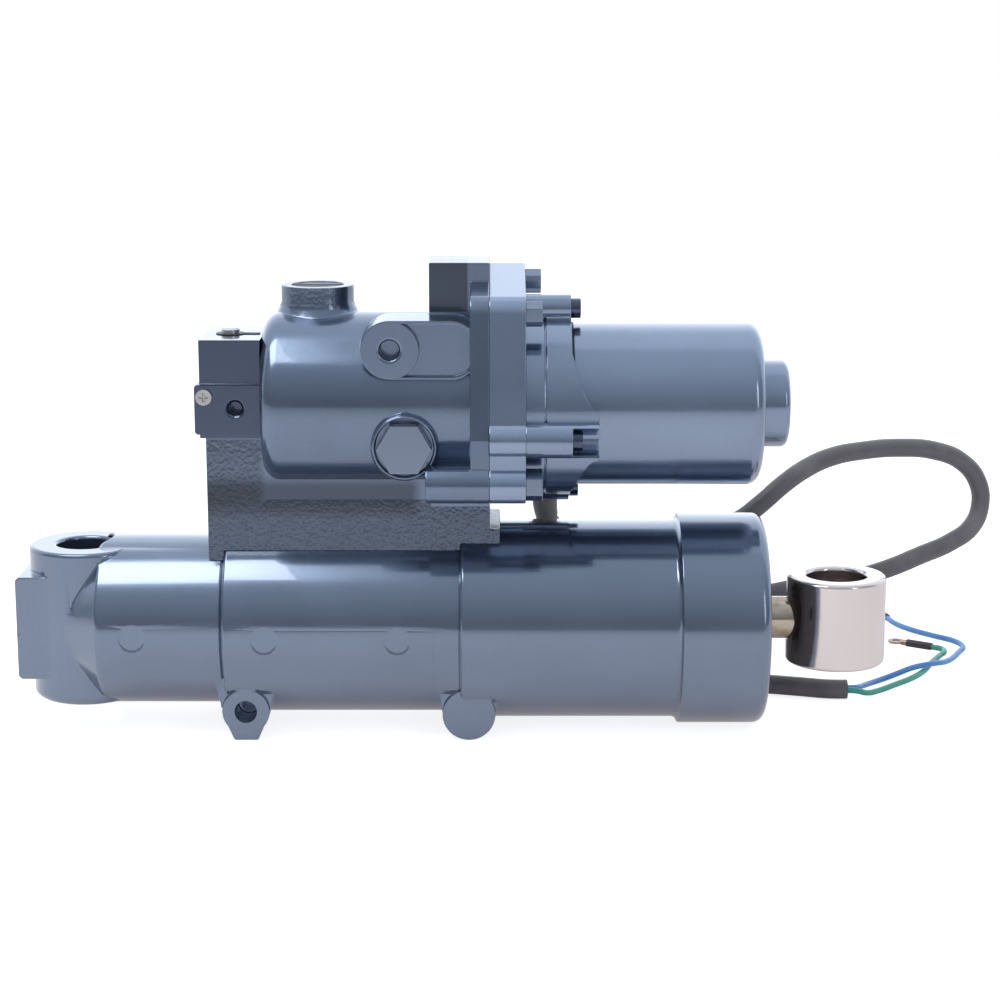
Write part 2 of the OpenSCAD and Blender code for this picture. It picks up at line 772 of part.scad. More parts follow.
// Piston with its ring, nut and shock valves
module piston_ring() {
    color(rubber) tube_x(ring_x0 + run_gap, ring_x0 + ring_w - run_gap, bore_r - run_gap,
        piston_r - ring_deep + run_gap);
}
module piston() {
    color(steel) difference() {
        rod_x(piston_x0, piston_x1, piston_r);
        rod_x(piston_x0 - cut, piston_x1 + cut, rod_tail_r);
        tube_x(ring_x0, ring_x0 + ring_w, piston_r + cut, piston_r - ring_deep);
        each_shock_valve() rod_x(piston_x1 - shock_valve_len, piston_x1 + cut, shock_valve_r);
    }
}
module each_shock_valve() {
    for (i = [0:shock_valve_count - 1]) rotate([360 * i / shock_valve_count, 0, 0])
        translate([0, 0, shock_circle_r]) children();
}
module shock_valves() {
    recess = shock_valve_r / 3;
    color(brass) each_shock_valve() difference() {
        rod_x(piston_x1 - shock_valve_len, piston_x1, shock_valve_r);
        rod_x(piston_x1 - recess, piston_x1 + cut, shock_valve_r / 2);
    }
}
module piston_nut() {
    color(steel) difference() {
        hex_x(nut_x0, piston_x0, nut_flat_w, 0, 0);
        rod_x(nut_x0 - cut, piston_x0 + cut, rod_tail_r);
    }
}
module ram_rod() {
    color("silver") union() {
        rod_x(nut_x0, piston_x1, rod_tail_r);
        rod_x(piston_x1, spot_face_x, rod_r);
        rod_x(spot_face_x, spigot_x1, spigot_r);
    }
}
module ram_eye() {
    half = ram_eye_len / 2;
    inner = ram_eye_bore_r + ram_eye_edge;
    color([0.85, 0.8, 0.8]) difference() {
        translate([ram_eye_x, 0, 0]) rotate_extrude() polygon([
            [ram_eye_bore_r, ram_eye_edge - half], [inner, -half],
            [ram_eye_r - ram_eye_edge, -half], [ram_eye_r, ram_eye_edge - half],
            [ram_eye_r, half - ram_eye_edge], [ram_eye_r - ram_eye_edge, half],
            [inner, half], [ram_eye_bore_r, half - ram_eye_edge]]);
        rod_x(ram_eye_x - ram_eye_r - cut, spot_face_x, spot_face_r);
        rod_x(spot_face_x - cut, spigot_x1, spigot_r);
    }
}
module free_piston() {
    groove_r = piston_r - ring_deep;
    room_x = nut_x0 - nut_gap;
    color(steel) difference() {
        rod_x(free_x0, free_x1, piston_r);
        rod_x(room_x, free_x1 + cut, nut_room_r);
        tube_x(free_ring_x0, free_ring_x0 + ring_w, piston_r + cut, groove_r);
    }
}
module free_piston_ring() {
    color(rubber) tube_x(free_ring_x0, free_ring_x0 + ring_w, bore_r - run_gap,
        piston_r - ring_deep);
}

// Outline of the flange between housing and adapter, seen along X
module flange_outline() {
    translate([0, pump_z]) circle(r = flange_r);
    for (a = bolt_angles) ear_outline(on_circle(bolt_circle_r, a, pump_z), bolt_ear_r, a);
    front = on_circle(motor_screw_circle_r, motor_screw_angles[front_screw_index], motor_z);
    first = on_circle(bolt_circle_r, bolt_angles[0], pump_z);
    second = on_circle(bolt_circle_r, bolt_angles[1], pump_z);
    third = on_circle(bolt_circle_r, bolt_angles[2], pump_z);
    joined_ears(first, bolt_ear_r, second, bolt_ear_r);
    joined_ears(second, bolt_ear_r, front, plate_side_r);
    joined_ears(front, plate_side_r, third, plate_side_r);
}
module joined_ears(place, r, next_place, next_r) {
    hull() {
        translate(place) circle(r = r);
        translate(next_place) circle(r = next_r);
    }
}
// A round ear with a web that runs in to the middle along its angle
module ear_outline(place, r, angle) {
    translate(place) circle(r = r);
    half = r * ear_web_share;
    translate(place) rotate(angle) translate([-2 * r, -half]) square([2 * r, 2 * half]);
}
module adapter_outline() {
    flange_outline();
    for (a = motor_screw_angles) ear_outline(on_circle(motor_screw_circle_r, a, motor_z),
        a == motor_screw_angles[front_screw_index] ? front_ear_r : motor_ear_r, a);
}
module each_bolt() {
    for (a = bolt_angles) {
        place = on_circle(bolt_circle_r, a, pump_z);
        translate([0, place[0], place[1]]) children();
    }
}

// Pump housing, one casting with the bracket that seats on the barrel
module pump_housing() {
    color(paint) difference() {
        union() {
            pump_outside();
            bracket_outside();
            slot_pad_outside();
            ledge_outside();
            rod_y(plug_boss_y + plug_edge, -cavity_r / 2, plug_boss_r, plug_x, plug_z);
            translate([plug_x, plug_boss_y, plug_z]) rotate([-90, 0, 0])
                cylinder(h = plug_edge, r1 = plug_boss_r - plug_edge / 2, r2 = plug_boss_r);
            slab_x(pump_x1, flange_x1) flange_outline();
            box(crown_x0, flange_x1, crown_y0, crown_y1, pump_z, crown_z1);
        }
        rod_x(cavity_x0, flange_x1 + cut, cavity_r, 0, pump_z);
        rod_z(pump_z, filler_top_z + cut, filler_bore_r, neck_axis_x, neck_axis_y);
        slot_pad_cuts();
        rod_y(plug_boss_y - cut, plug_boss_y + plug_well_deep, plug_well_r, plug_x, plug_z);
        rod_y(plug_boss_y, -cavity_r / 2, plug_thread_r, plug_x, plug_z);
        each_bolt() rod_x(flange_x1 - bolt_thread_deep, flange_x1 + cut, bolt_r);
    }
}
module pump_outside() {
    turned_x(concat([[0, pump_x0]],
        arc([pump_r - pump_round, pump_x0 + pump_round], pump_round, -90, 0),
        [[pump_r, pump_x1], [0, pump_x1]]), pump_z);
    rod_z(pump_z, filler_top_z, filler_neck_r, neck_axis_x, neck_axis_y);
    foot_z = pump_z + pump_r - filler_foot_h;
    rod_z(pump_z, foot_z, filler_neck_r + filler_foot_h, neck_axis_x, neck_axis_y);
    translate([neck_axis_x, neck_axis_y, foot_z]) cylinder(
        h = 2 * filler_foot_h, r1 = filler_neck_r + filler_foot_h, r2 = filler_neck_r);
}
module bracket_outside() {
    toe_x = flange_x1;
    difference() {
        slab_y(-bracket_half_w, bracket_half_w) polygon([[bracket_x0, 0],
            [bracket_x1, 0], [bracket_x1, bracket_toe_z], [toe_x, bracket_toe_z],
            [toe_x, pump_z], [block_x1, pump_z], [block_x1, column_top_z],
            [bracket_x0, column_top_z]]);
        rod_x(bracket_x0 - cut, seam_x, base_r + saddle_gap);
        rod_x(seam_x - saddle_gap, second_seam_x, mid_r + saddle_gap);
        rod_x(second_seam_x - saddle_gap, saddle_x1 + cut, head_r + saddle_gap);
    }
}
module slot_pad_outside() {
    slab_y(slot_pad_y, slot_pad_root_y) slot_outline(slot_pad_r);
}
module slot_outline(r) {
    translate([slot_pad_x, slot_pad_z]) circle(r = r);
    translate([slot_pad_x + slot_pad_len, slot_pad_z]) circle(r = r);
    translate([slot_pad_x, slot_pad_z - r]) square([slot_pad_len, 2 * r]);
}
module slot_pad_cuts() {
    floor_y = slot_pad_y + slot_pocket_deep;
    slab_y(slot_pad_y - cut, floor_y) difference() {
        slot_outline(slot_pad_r - slot_rim);
        translate([slot_pad_x, slot_pad_z]) circle(r = slot_pad_r);
    }
    rod_y(slot_pad_y - cut, slot_pad_y + pad_hole_deep, pad_hole_r, slot_pad_x, slot_pad_z);
    translate([slot_pad_x, slot_pad_y, slot_pad_z]) rotate([-90, 0, 0]) cylinder(
        h = pad_hole_edge, r1 = pad_hole_r + pad_hole_edge, r2 = pad_hole_r);
}
module ledge_outside() {
    rod_x(ledge_x0, flange_x1, ledge_r, ledge_y, ledge_z);
    box(ledge_x0, flange_x1, ledge_y, -bracket_half_w / 2, ledge_z - ledge_r,
        ledge_z + ledge_r);
    box(ledge_x0 + ledge_foot_in / 2, flange_x1, ledge_y + ledge_foot_in,
        -bracket_half_w / 2, ledge_foot_z, ledge_z);
}
module adapter_plate() {
    color(paint) difference() {
        slab_x(flange_x1, adapter_x1) adapter_outline();
        rod_x(flange_x1 - cut, adapter_x1 + cut, coupling_bore_r, 0, motor_z);
        each_bolt() rod_x(flange_x1 - cut, adapter_x1 + cut, bolt_hole_r);
        each_motor_screw() rod_x(flange_x1 + adapter_t / 3, adapter_x1 + cut, motor_screw_r);
        tube_x(flange_x1 - cut, flange_x1 + oring_wire_r * 2, cavity_r + oring_groove_w,
            cavity_r, 0, pump_z);
    }
}
module flange_oring() {
    color(rubber) ring_section_x(flange_x1 + oring_wire_r,
        cavity_r + oring_groove_w / 2, oring_wire_r, pump_z);
}
module flange_bolts() {
    head_x1 = adapter_x1 + bolt_head_h;
    color(paint) for (i = [0:len(bolt_angles) - 1]) {
        place = on_circle(bolt_circle_r, bolt_angles[i], pump_z);
        rod_x(flange_x1 - bolt_thread_deep, adapter_x1, bolt_r, place[0], place[1]);
        hex_x(adapter_x1, head_x1, i == big_bolt_index ? big_head_w : bolt_head_w,
            place[0], place[1]);
    }
}

// Plugs in the housing
module hex_plug() {
    seat_y = plug_boss_y + plug_well_deep - washer_t;
    color(paint) translate([plug_x, 0, plug_z]) union() {
        rod_y(seat_y - run_gap, plug_shank_end_y, plug_thread_r);
        translate([0, seat_y, 0]) rotate([90, 0, 0])
            cylinder(h = plug_head_h, r = plug_head_w / sqrt(3), $fn = 6);
    }
}
module plug_washer() {
    y1 = plug_boss_y + plug_well_deep;
    color(copper) difference() {
        rod_y(y1 - washer_t, y1, plug_head_w / 2, plug_x, plug_z);
        rod_y(y1 - washer_t - cut, y1 + cut, plug_thread_r, plug_x, plug_z);
    }
}
module filler_plug() {
    top = filler_top_z - filler_plug_sink;
    color(dark_steel) difference() {
        rod_z(top - filler_plug_h, top, filler_bore_r - run_gap, neck_axis_x, neck_axis_y);
        box(neck_axis_x - filler_bore_r, neck_axis_x + filler_bore_r,
            neck_axis_y - filler_slot_w / 2, neck_axis_y + filler_slot_w / 2,
            top - filler_slot_deep, top + cut);
    }
}

// Valve block with the manual valve, the shuttle and its check valves
module valve_block() {
    high_x0 = block_x0 + block_step;
    high_y0 = block_y0 + block_high_in;
    color(paint) difference() {
        union() {
            box(block_x0 + block_gasket_h, block_x1, block_y0 + block_gasket_h, block_y1,
                column_top_z, block_z0);
            slab_y(block_y0, block_y1) polygon([[block_x0 + block_edge, block_z0],
                [block_x1, block_z0], [block_x1, block_z1], [block_x0 + block_edge, block_z1],
                [block_x0, block_z1 - block_edge], [block_x0, block_z0 + block_edge]]);
            box(high_x0, block_x1, high_y0, block_y1, block_z1, block_z2);
        }
        rod_y(block_y0 - cut, block_y0 + block_hole_deep, block_hole_r, block_hole_x,
            block_hole_z);
        translate([block_hole_x, block_y0, block_hole_z]) rotate([-90, 0, 0]) cylinder(
            h = block_hole_edge, r1 = block_hole_r + block_hole_edge, r2 = block_hole_r);
        rod_y(block_y0 - cut, block_y0 + screw_len, screw_r, screw_x, screw_z);
        rod_z(block_z2 - valve_deep, block_z2 + cut, valve_room_r, valve_x, valve_y);
        rod_z(block_z2 - circlip_sink, block_z2 + cut, circlip_r + run_gap, valve_x, valve_y);
        spool_cuts();
        rod_y(block_y1 - relief_len, block_y1 + cut, relief_r, relief_x, relief_z);
    }
}
module spool_cuts() {
    translate([spool_x, spool_y, spool_z]) {
        rod_y(-spool_room, spool_room, spool_r + run_gap);
        rod_y(-check_back, check_back, land_r);
        rod_y(-spring_back, -check_face, check_room_r);
        rod_y(check_face, spring_back, check_room_r);
        rod_y(spring_back - run_gap, block_y1 - spool_y + cut, cap_r);
    }
}
module manual_valve() {
    top = block_z2 + valve_head_h;
    color(steel) difference() {
        union() {
            rod_z(block_z2 - valve_deep + valve_r, block_z2 - circlip_t, valve_r, valve_x,
                valve_y);
            rod_z(block_z2 - circlip_t, top, valve_head_r, valve_x, valve_y);
            translate([valve_x, valve_y, block_z2 - valve_deep + valve_r / 2])
                cylinder(h = valve_r / 2, r1 = valve_r / 2, r2 = valve_r);
        }
        box(valve_x - valve_r, valve_x + valve_r, valve_y - valve_slot_w / 2,
            valve_y + valve_slot_w / 2, top - valve_slot_w, top + cut);
    }
}
module valve_circlip() {
    z0 = block_z2 - circlip_sink;
    ear_y = circlip_ear_w / 2;
    color(dark_steel) difference() {
        union() {
            rod_z(z0, z0 + circlip_t, circlip_r, valve_x, valve_y);
            box(valve_x, valve_x + circlip_r + circlip_ear_len, valve_y - ear_y,
                valve_y + ear_y, block_z2, z0 + circlip_t);
        }
        rod_z(z0 - cut, z0 + circlip_t + cut, valve_head_r + run_gap, valve_x, valve_y);
    }
}
module block_screws() {
    color(steel) difference() {
        union() {
            rod_y(block_y0, block_y0 + screw_len, screw_r, screw_x, screw_z);
            rod_y(block_y0 - screw_head_h, block_y0, screw_head_r, screw_x, screw_z);
        }
        for (a = [0, 90]) translate([screw_x, block_y0 - screw_head_h, screw_z])
            rotate([0, a, 0]) box(-cross_len / 2, cross_len / 2, -cut, cross_deep,
                -cross_w / 2, cross_w / 2);
    }
}
module shuttle_piston() {
    waist_r = spool_waist_share * spool_r;
    color(steel) translate([spool_x, spool_y, spool_z]) {
        for (s = [-1, 1]) {
            mirror([0, s < 0 ? 1 : 0, 0]) {
                rod_y(spool_half_len / 3, spool_half_len, spool_r);
                rod_y(spool_half_len - run_gap, spool_half_len + spool_pin_len, spool_pin_r);
            }
        }
        rod_y(-spool_half_len / 2, spool_half_len / 2, waist_r);
    }
}
module check_valve() {
    color(brass) translate([spool_x, spool_y, spool_z]) {
        rod_y(check_face + run_gap, check_back, check_r);
        translate([0, check_face - check_nose_len, 0]) rotate([-90, 0, 0])
            cylinder(h = check_nose_len + run_gap, r1 = land_r / 2, r2 = land_r - run_gap);
    }
}
module front_check_valve() {
    translate([0, 2 * spool_y, 0]) mirror([0, 1, 0]) check_valve();
}
module rear_check_valve() {
    check_valve();
}
module check_spring(s) {
    color(dark_steel) translate([spool_x, spool_y + s * check_back, spool_z])
        rotate([-90 * s, 0, 0])
            spring(check_spring_r, check_wire_r, check_spring_len, check_turns);
}
module front_check_spring() {
    check_spring(-1);
}
module rear_check_spring() {
    check_spring(1);
}
module check_cap() {
    y0 = spool_y + spring_back;
    color(steel) difference() {
        rod_y(y0, block_y1, cap_r, spool_x, spool_z);
        translate([spool_x, block_y1, spool_z]) rotate([90, 0, 0]) translate([0, 0, -cut])
            cylinder(h = cap_socket_deep + cut, r = cap_socket_w / sqrt(3), $fn = 6);
    }
}
module relief_valve() {
    color(steel) difference() {
        union() {
            rod_y(block_y1 - relief_len, block_y1, relief_r, relief_x, relief_z);
            rod_y(block_y1, block_y1 + relief_rim_h, relief_rim_r, relief_x, relief_z);
        }
        box(relief_x - relief_rim_r, relief_x + relief_rim_r, block_y1 + relief_rim_h / 2,
            block_y1 + relief_rim_h + cut, relief_z - valve_slot_w / 2,
            relief_z + valve_slot_w / 2);
    }
}

// Gear pump: case, cover, two gears on their shaft and pin, filter sleeve
function involute(a) = tan(a) * 180 / PI - a;
function flank_angle(r) = 90 / gear_teeth - gear_backlash / 2 / gear_pitch_r * 180 / PI
    + involute(gear_pressure_angle) - involute(acos(min(1, gear_base_r / r)));
function flank_r(i) = gear_base_r + (gear_tip_r - gear_base_r) * i / flank_steps;
function tooth(a) = concat(
    [gear_root_r * [cos(a - flank_angle(gear_base_r)), sin(a - flank_angle(gear_base_r))]],
    [for (i = [0:flank_steps]) flank_r(i) * [cos(a - flank_angle(flank_r(i))),
        sin(a - flank_angle(flank_r(i)))]],
    [for (i = [flank_steps:-1:0]) flank_r(i) * [cos(a + flank_angle(flank_r(i))),
        sin(a + flank_angle(flank_r(i)))]],
    [gear_root_r * [cos(a + flank_angle(gear_base_r)), sin(a + flank_angle(gear_base_r))]]);
module gear_outline(turn) {
    polygon([for (i = [0:gear_teeth - 1]) each tooth(turn + 360 * i / gear_teeth)]);
}
module gear_case() {
    color(steel) difference() {
        rod_x(gear_case_x0, flange_x1, gear_case_r, 0, gear_case_z);
        for (z = [motor_z, driven_z])
            rod_x(gear_case_x0 - cut, gear_pocket_x1, gear_tip_r + run_gap, 0, z);
        rod_x(gear_pocket_x1 - cut, flange_x1 + cut, gear_shaft_r + run_gap, 0, motor_z);
        rod_x(gear_pocket_x1 - cut, gear_pocket_x1 + shaft_blind * 3, gear_shaft_r, 0, driven_z);
        each_pump_screw() rod_x(gear_case_x0 - cut, gear_case_x0 + pump_screw_deep,
            pump_screw_r);
    }
}
module each_pump_screw() {
    for (a = pump_screw_angles) {
        place = on_circle(pump_screw_circle_r, a, gear_case_z);
        translate([0, place[0], place[1]]) children();
    }
}
module pump_cover() {
    color(steel) difference() {
        rod_x(cover_x0, gear_case_x0, gear_case_r, 0, gear_case_z);
        rod_x(cover_x0 + shaft_blind, gear_case_x0 + cut, gear_shaft_r + run_gap, 0, motor_z);
        rod_x(cover_x0 + shaft_blind, gear_case_x0 + cut, gear_shaft_r, 0, driven_z);
        each_pump_screw() rod_x(cover_x0 - cut, gear_case_x0 + cut, pump_screw_r);
    }
}
module drive_gear() {
    tang_x1 = coupling_mid_x - tang_end_gap;
    color(steel) union() {
        slab_x(gear_x0, gear_x1) translate([0, motor_z]) gear_outline(-90);
        rod_x(cover_x0 + shaft_blind + run_gap, coupling_x0 - run_gap, gear_shaft_r, 0, motor_z);
        tang(coupling_x0 - shaft_blind, tang_x1, gear_shaft_r);
    }
}
module tang(x0, x1, r) {
    intersection() {
        rod_x(x0, x1, r, 0, motor_z);
        box(x0, x1, -tang_t / 2, tang_t / 2, motor_z - r, motor_z + r);
    }
}
module driven_gear() {
    color(steel) difference() {
        slab_x(gear_x0, gear_x1) translate([0, driven_z]) gear_outline(90 + 180 / gear_teeth);
        rod_x(gear_x0 - cut, gear_x1 + cut, gear_shaft_r + run_gap, 0, driven_z);
    }
}
module gear_pin() {
    color(dark_steel) rod_x(cover_x0 + shaft_blind, gear_pocket_x1 + shaft_blind * 3,
        gear_shaft_r, 0, driven_z);
}
module pump_screws() {
    color(dark_steel) each_pump_screw() union() {
        rod_x(cover_x0, gear_case_x0 + pump_screw_deep, pump_screw_r);
        rod_x(cover_x0 - pump_screw_head_h, cover_x0, pump_screw_head_r);
    }
}
module suction_filter() {
    inner_r = gear_case_r + filter_gap;
    outer_r = inner_r + filter_t;
    rim_r = outer_r + filter_rim_t;
    x1 = filter_x0 + filter_len;
    color(brass) turned_x([[inner_r, filter_x0], [rim_r, filter_x0],
        [rim_r, filter_x0 + filter_rim], [outer_r, filter_x0 + filter_rim],
        [outer_r, x1 - filter_rim], [rim_r, x1 - filter_rim], [rim_r, x1], [inner_r, x1]],
        gear_case_z);
}
module drive_coupling() {
    slot_half_t = tang_t / 2 + tang_gap;
    slot_half_w = max(gear_shaft_r, shaft_r) + tang_gap;
    color(dark_steel) difference() {
        rod_x(coupling_x0, coupling_x1, coupling_r, 0, motor_z);
        box(coupling_x0 - cut, coupling_x1 + cut, -slot_half_t, slot_half_t,
            motor_z - slot_half_w, motor_z + slot_half_w);
    }
}

// Motor base with its screw ears and the fairing at the front screw
module motor_base_outline() {
    translate([0, motor_z]) circle(r = motor_base_r);
    for (a = motor_screw_angles) ear_outline(on_circle(motor_screw_circle_r, a, motor_z),
        a == motor_screw_angles[front_screw_index] ? front_ear_r : motor_ear_r, a);
}
module each_motor_screw() {
    for (a = motor_screw_angles) {
        place = on_circle(motor_screw_circle_r, a, motor_z);
        translate([0, place[0], place[1]]) children();
    }
}
module motor_base() {
    color(paint) difference() {
        union() {
            slab_x(motor_base_x0, motor_base_x1) motor_base_outline();
            rod_x(motor_base_x1, motor_base_x1 + can_spigot_len, can_r - can_wall - run_gap, 0,
                motor_z);
            front_fairing();
        }
        rod_x(motor_base_x0 - cut, motor_base_x1 + can_spigot_len + cut, base_web_r, 0, motor_z);
        rod_x(motor_base_x0 - cut, motor_base_x0 + seal_pocket_len, seal_pocket_r, 0, motor_z);
        rod_x(bearing_x0, motor_base_x1 + can_spigot_len + cut, bearing_r, 0, motor_z);
        rod_x(motor_base_x1, motor_base_x1 + can_spigot_len + cut, can_r - 3 * can_wall, 0,
            motor_z);
        each_motor_screw() rod_x(motor_base_x0 - cut, motor_base_x1 + cut,
            motor_screw_r + run_gap);
        tube_x(base_groove_x - base_groove_w / 2, base_groove_x + base_groove_w / 2,
            motor_base_r + cut, motor_base_r - base_groove_deep, 0, motor_z);
        rod_z(motor_z - motor_base_r - cut, grommet_top_z, grommet_r, grommet_x, grommet_y);
        fairing_pocket();
    }
}
module front_fairing() {
    place = on_circle(motor_screw_circle_r, motor_screw_angles[front_screw_index], motor_z);
    spread = fairing_wide_r - fairing_thin_r;
    flare = [for (i = [0:flare_steps])
        [fairing_thin_r + spread * pow(1 - i / flare_steps, flare_power),
            motor_base_x1 + fairing_len * i / flare_steps]];
    difference() {
        intersection() {
            turned_x(concat([[0, motor_base_x1]], flare,
                [[0, motor_base_x1 + fairing_len]]), place[1], place[0]);
            slab_x(motor_base_x1, motor_base_x1 + fairing_len) motor_base_outline();
        }
        rod_x(motor_base_x1 - cut, motor_base_x1 + fairing_len + cut, can_r + fairing_skin, 0,
            motor_z);
    }
}
module fairing_pocket() {
    place = on_circle(motor_screw_circle_r, motor_screw_angles[front_screw_index], motor_z);
    x1 = motor_base_x1 + fairing_len + cut;
    rod_x(motor_base_x1, x1, fairing_pocket_r, place[0], place[1]);
    box(motor_base_x1, x1, place[0] - 2 * front_ear_r, place[0],
        place[1] - fairing_pocket_r, place[1] + fairing_pocket_r);
}
module motor_oring() {
    color(rubber) difference() {
        rod_x(motor_base_x1, can_x0, can_r - run_gap, 0, motor_z);
        rod_x(motor_base_x1 - cut, can_x0 + cut, can_r - can_wall, 0, motor_z);
    }
}
module motor_can() {
    inner_r = can_r - can_wall;
    inner_x1 = can_x1 - can_wall;
    boss_inner_x1 = can_end_x1 - can_end_wall;
    color(paint) turned_x(concat([[inner_r, can_x0], [can_r, can_x0]],
        arc([can_r - can_round, can_x1 - can_round], can_round, 0, 90),
        [[can_end_r, can_x1]],
        arc([can_end_r - can_end_round, can_end_x1 - can_end_round], can_end_round, 0, 90),
        [[0, can_end_x1], [0, boss_inner_x1], [can_end_bore_r, boss_inner_x1],
            [can_end_bore_r, inner_x1]],
        arc([inner_r - can_round, inner_x1 - can_round], can_round, 90, 0)), motor_z);
}
module magnets() {
    out_r = can_r - can_wall - magnet_gap;
    color(dark_steel) for (s = [-1, 1]) translate([magnet_x0, 0, motor_z]) rotate([0, 90, 0])
        rotate([0, 0, 90 * s - magnet_angle / 2]) rotate_extrude(angle = magnet_angle)
            translate([out_r - magnet_t, 0]) square([magnet_t, magnet_len]);
}

// Armature: shaft, slotted core, windings and commutator
module armature_shaft() {
    color(steel) union() {
        rod_x(coupling_x1 + run_gap, rear_bearing_x0 + rear_bearing_len, shaft_r, 0, motor_z);
        tang(coupling_mid_x + tang_end_gap, coupling_x1 + shaft_blind, shaft_r);
    }
}
module armature_core() {
    core_x1 = core_x0 + core_len;
    color(dark_steel) difference() {
        tube_x(core_x0, core_x1, core_r, shaft_r + fit_gap, 0, motor_z);
        each_slot() box(core_x0 - cut, core_x1 + cut, -slot_w / 2, slot_w / 2, slot_in_r,
            slot_out_r);
        each_slot() box(core_x0 - cut, core_x1 + cut, -slot_mouth_w / 2, slot_mouth_w / 2,
            slot_out_r - cut, core_r + slot_mouth_out);
    }
}
module each_slot() {
    for (i = [0:core_slots - 1]) translate([0, 0, motor_z]) rotate([360 * i / core_slots, 0, 0])
        children();
}
module armature_windings() {
    bar_half_w = slot_w / 2 - magnet_gap;
    core_x1 = core_x0 + core_len;
    color(copper) union() {
        winding_end(core_x0 - winding_len, core_x0);
        winding_end(core_x1, core_x1 + winding_len);
        each_slot() box(core_x0 - winding_len / 2, core_x1 + winding_len / 2, -bar_half_w,
            bar_half_w, slot_in_r + magnet_gap, winding_r - magnet_gap);
    }
}
module winding_end(x0, x1) {
    turned_x([[winding_in_r, x0], [winding_r - winding_round, x0],
        [winding_r, x0 + winding_round], [winding_r, x1 - winding_round],
        [winding_r - winding_round, x1], [winding_in_r, x1]], motor_z);
}
module commutator() {
    x1 = commutator_x0 + commutator_len;
    color(copper) difference() {
        tube_x(commutator_x0, x1, commutator_r, shaft_r + fit_gap, 0, motor_z);
        for (i = [0:commutator_cuts - 1]) translate([0, 0, motor_z])
            rotate([360 * i / commutator_cuts, 0, 0]) box(commutator_x0 - cut, x1 + cut,
                -commutator_cut_w / 2, commutator_cut_w / 2,
                commutator_r - commutator_cut_deep, commutator_r + cut);
    }
}
module motor_bearings() {
    color(steel) union() {
        tube_x(bearing_x0, motor_base_x1, bearing_r, shaft_r + run_gap, 0, motor_z);
        tube_x(rear_bearing_x0, rear_bearing_x0 + rear_bearing_len, can_end_bore_r,
            shaft_r + run_gap, 0, motor_z);
    }
}
module shaft_seal() {
    color(rubber) tube_x(motor_base_x0, motor_base_x0 + seal_pocket_len, seal_pocket_r,
        shaft_r + run_gap, 0, motor_z);
}
module brush_holder() {
    plate_x0 = commutator_x0 + commutator_len - cut;
    box_half_w = brush_w / 2 + brush_gap + brush_box_wall;
    in_y = brush_box_y;
    box_x1 = brush_x0 + brush_t + brush_gap + brush_box_wall;
    color([0.3, 0.22, 0.15]) difference() {
        union() {
            tube_x(plate_x0, plate_x0 + holder_t, holder_r, holder_bore_r, 0, motor_z);
            for (s = [-1, 1]) box(brush_x0 - brush_gap - brush_box_wall, plate_x0 + cut,
                min(s * in_y, s * (in_y + brush_box_len)),
                max(s * in_y, s * (in_y + brush_box_len)), motor_z - box_half_w,
                motor_z + box_half_w);
        }
        for (s = [-1, 1]) box(brush_x0 - brush_gap, brush_x0 + brush_t + brush_gap,
            min(s * (in_y - cut), s * (in_y + brush_box_len - brush_box_wall)),
            max(s * (in_y - cut), s * (in_y + brush_box_len - brush_box_wall)),
            motor_z - brush_w / 2 - brush_gap, motor_z + brush_w / 2 + brush_gap);
    }
}
module brushes() {
    color([0.2, 0.2, 0.22]) for (s = [-1, 1]) difference() {
        box(brush_x0, brush_x0 + brush_t, min(0, s * (commutator_r + brush_len)),
            max(0, s * (commutator_r + brush_len)), motor_z - brush_w / 2,
            motor_z + brush_w / 2);
        rod_x(brush_x0 - cut, brush_x0 + brush_t + cut, commutator_r + run_gap, 0, motor_z);
    }
}
module brush_springs() {
    y0 = commutator_r + brush_len;
    length = brush_box_gap + brush_box_len - brush_box_wall - brush_len;
    color(steel) for (s = [-1, 1]) translate([brush_x0 + brush_t / 2, s * y0, motor_z])
        rotate([-90 * s, 0, 0]) spring(brush_spring_r, brush_wire_r, length, brush_turns);
}
module motor_screws() {
    color(dark_steel) each_motor_screw() union() {
        rod_x(flange_x1 + adapter_t / 3, motor_base_x1 + motor_screw_head_h / 2, motor_screw_r);
        rod_x(motor_base_x1, motor_base_x1 + motor_screw_head_h, motor_screw_head_r);
    }
}

// Grommet, cable and leads
module lead_grommet() {
    color([0.6, 0.57, 0.52]) union() {
        rod_z(grommet_z0, grommet_top_z, grommet_r, grommet_x, grommet_y);
        rod_z(grommet_z0, grommet_z0 + grommet_rim_h, grommet_rim_r, grommet_x, grommet_y);
    }
}
module motor_cable() {
    color([0.25, 0.23, 0.24]) swept(smooth(cable_points, 1), cable_r, cable_sides);
}
module blue_lead() {
    color([0.2, 0.45, 0.8]) swept(smooth(blue_points, 2), lead_r, lead_sides);
}
module green_lead() {
    color([0.2, 0.6, 0.5]) swept(smooth(green_points, 2), lead_r, lead_sides);
}
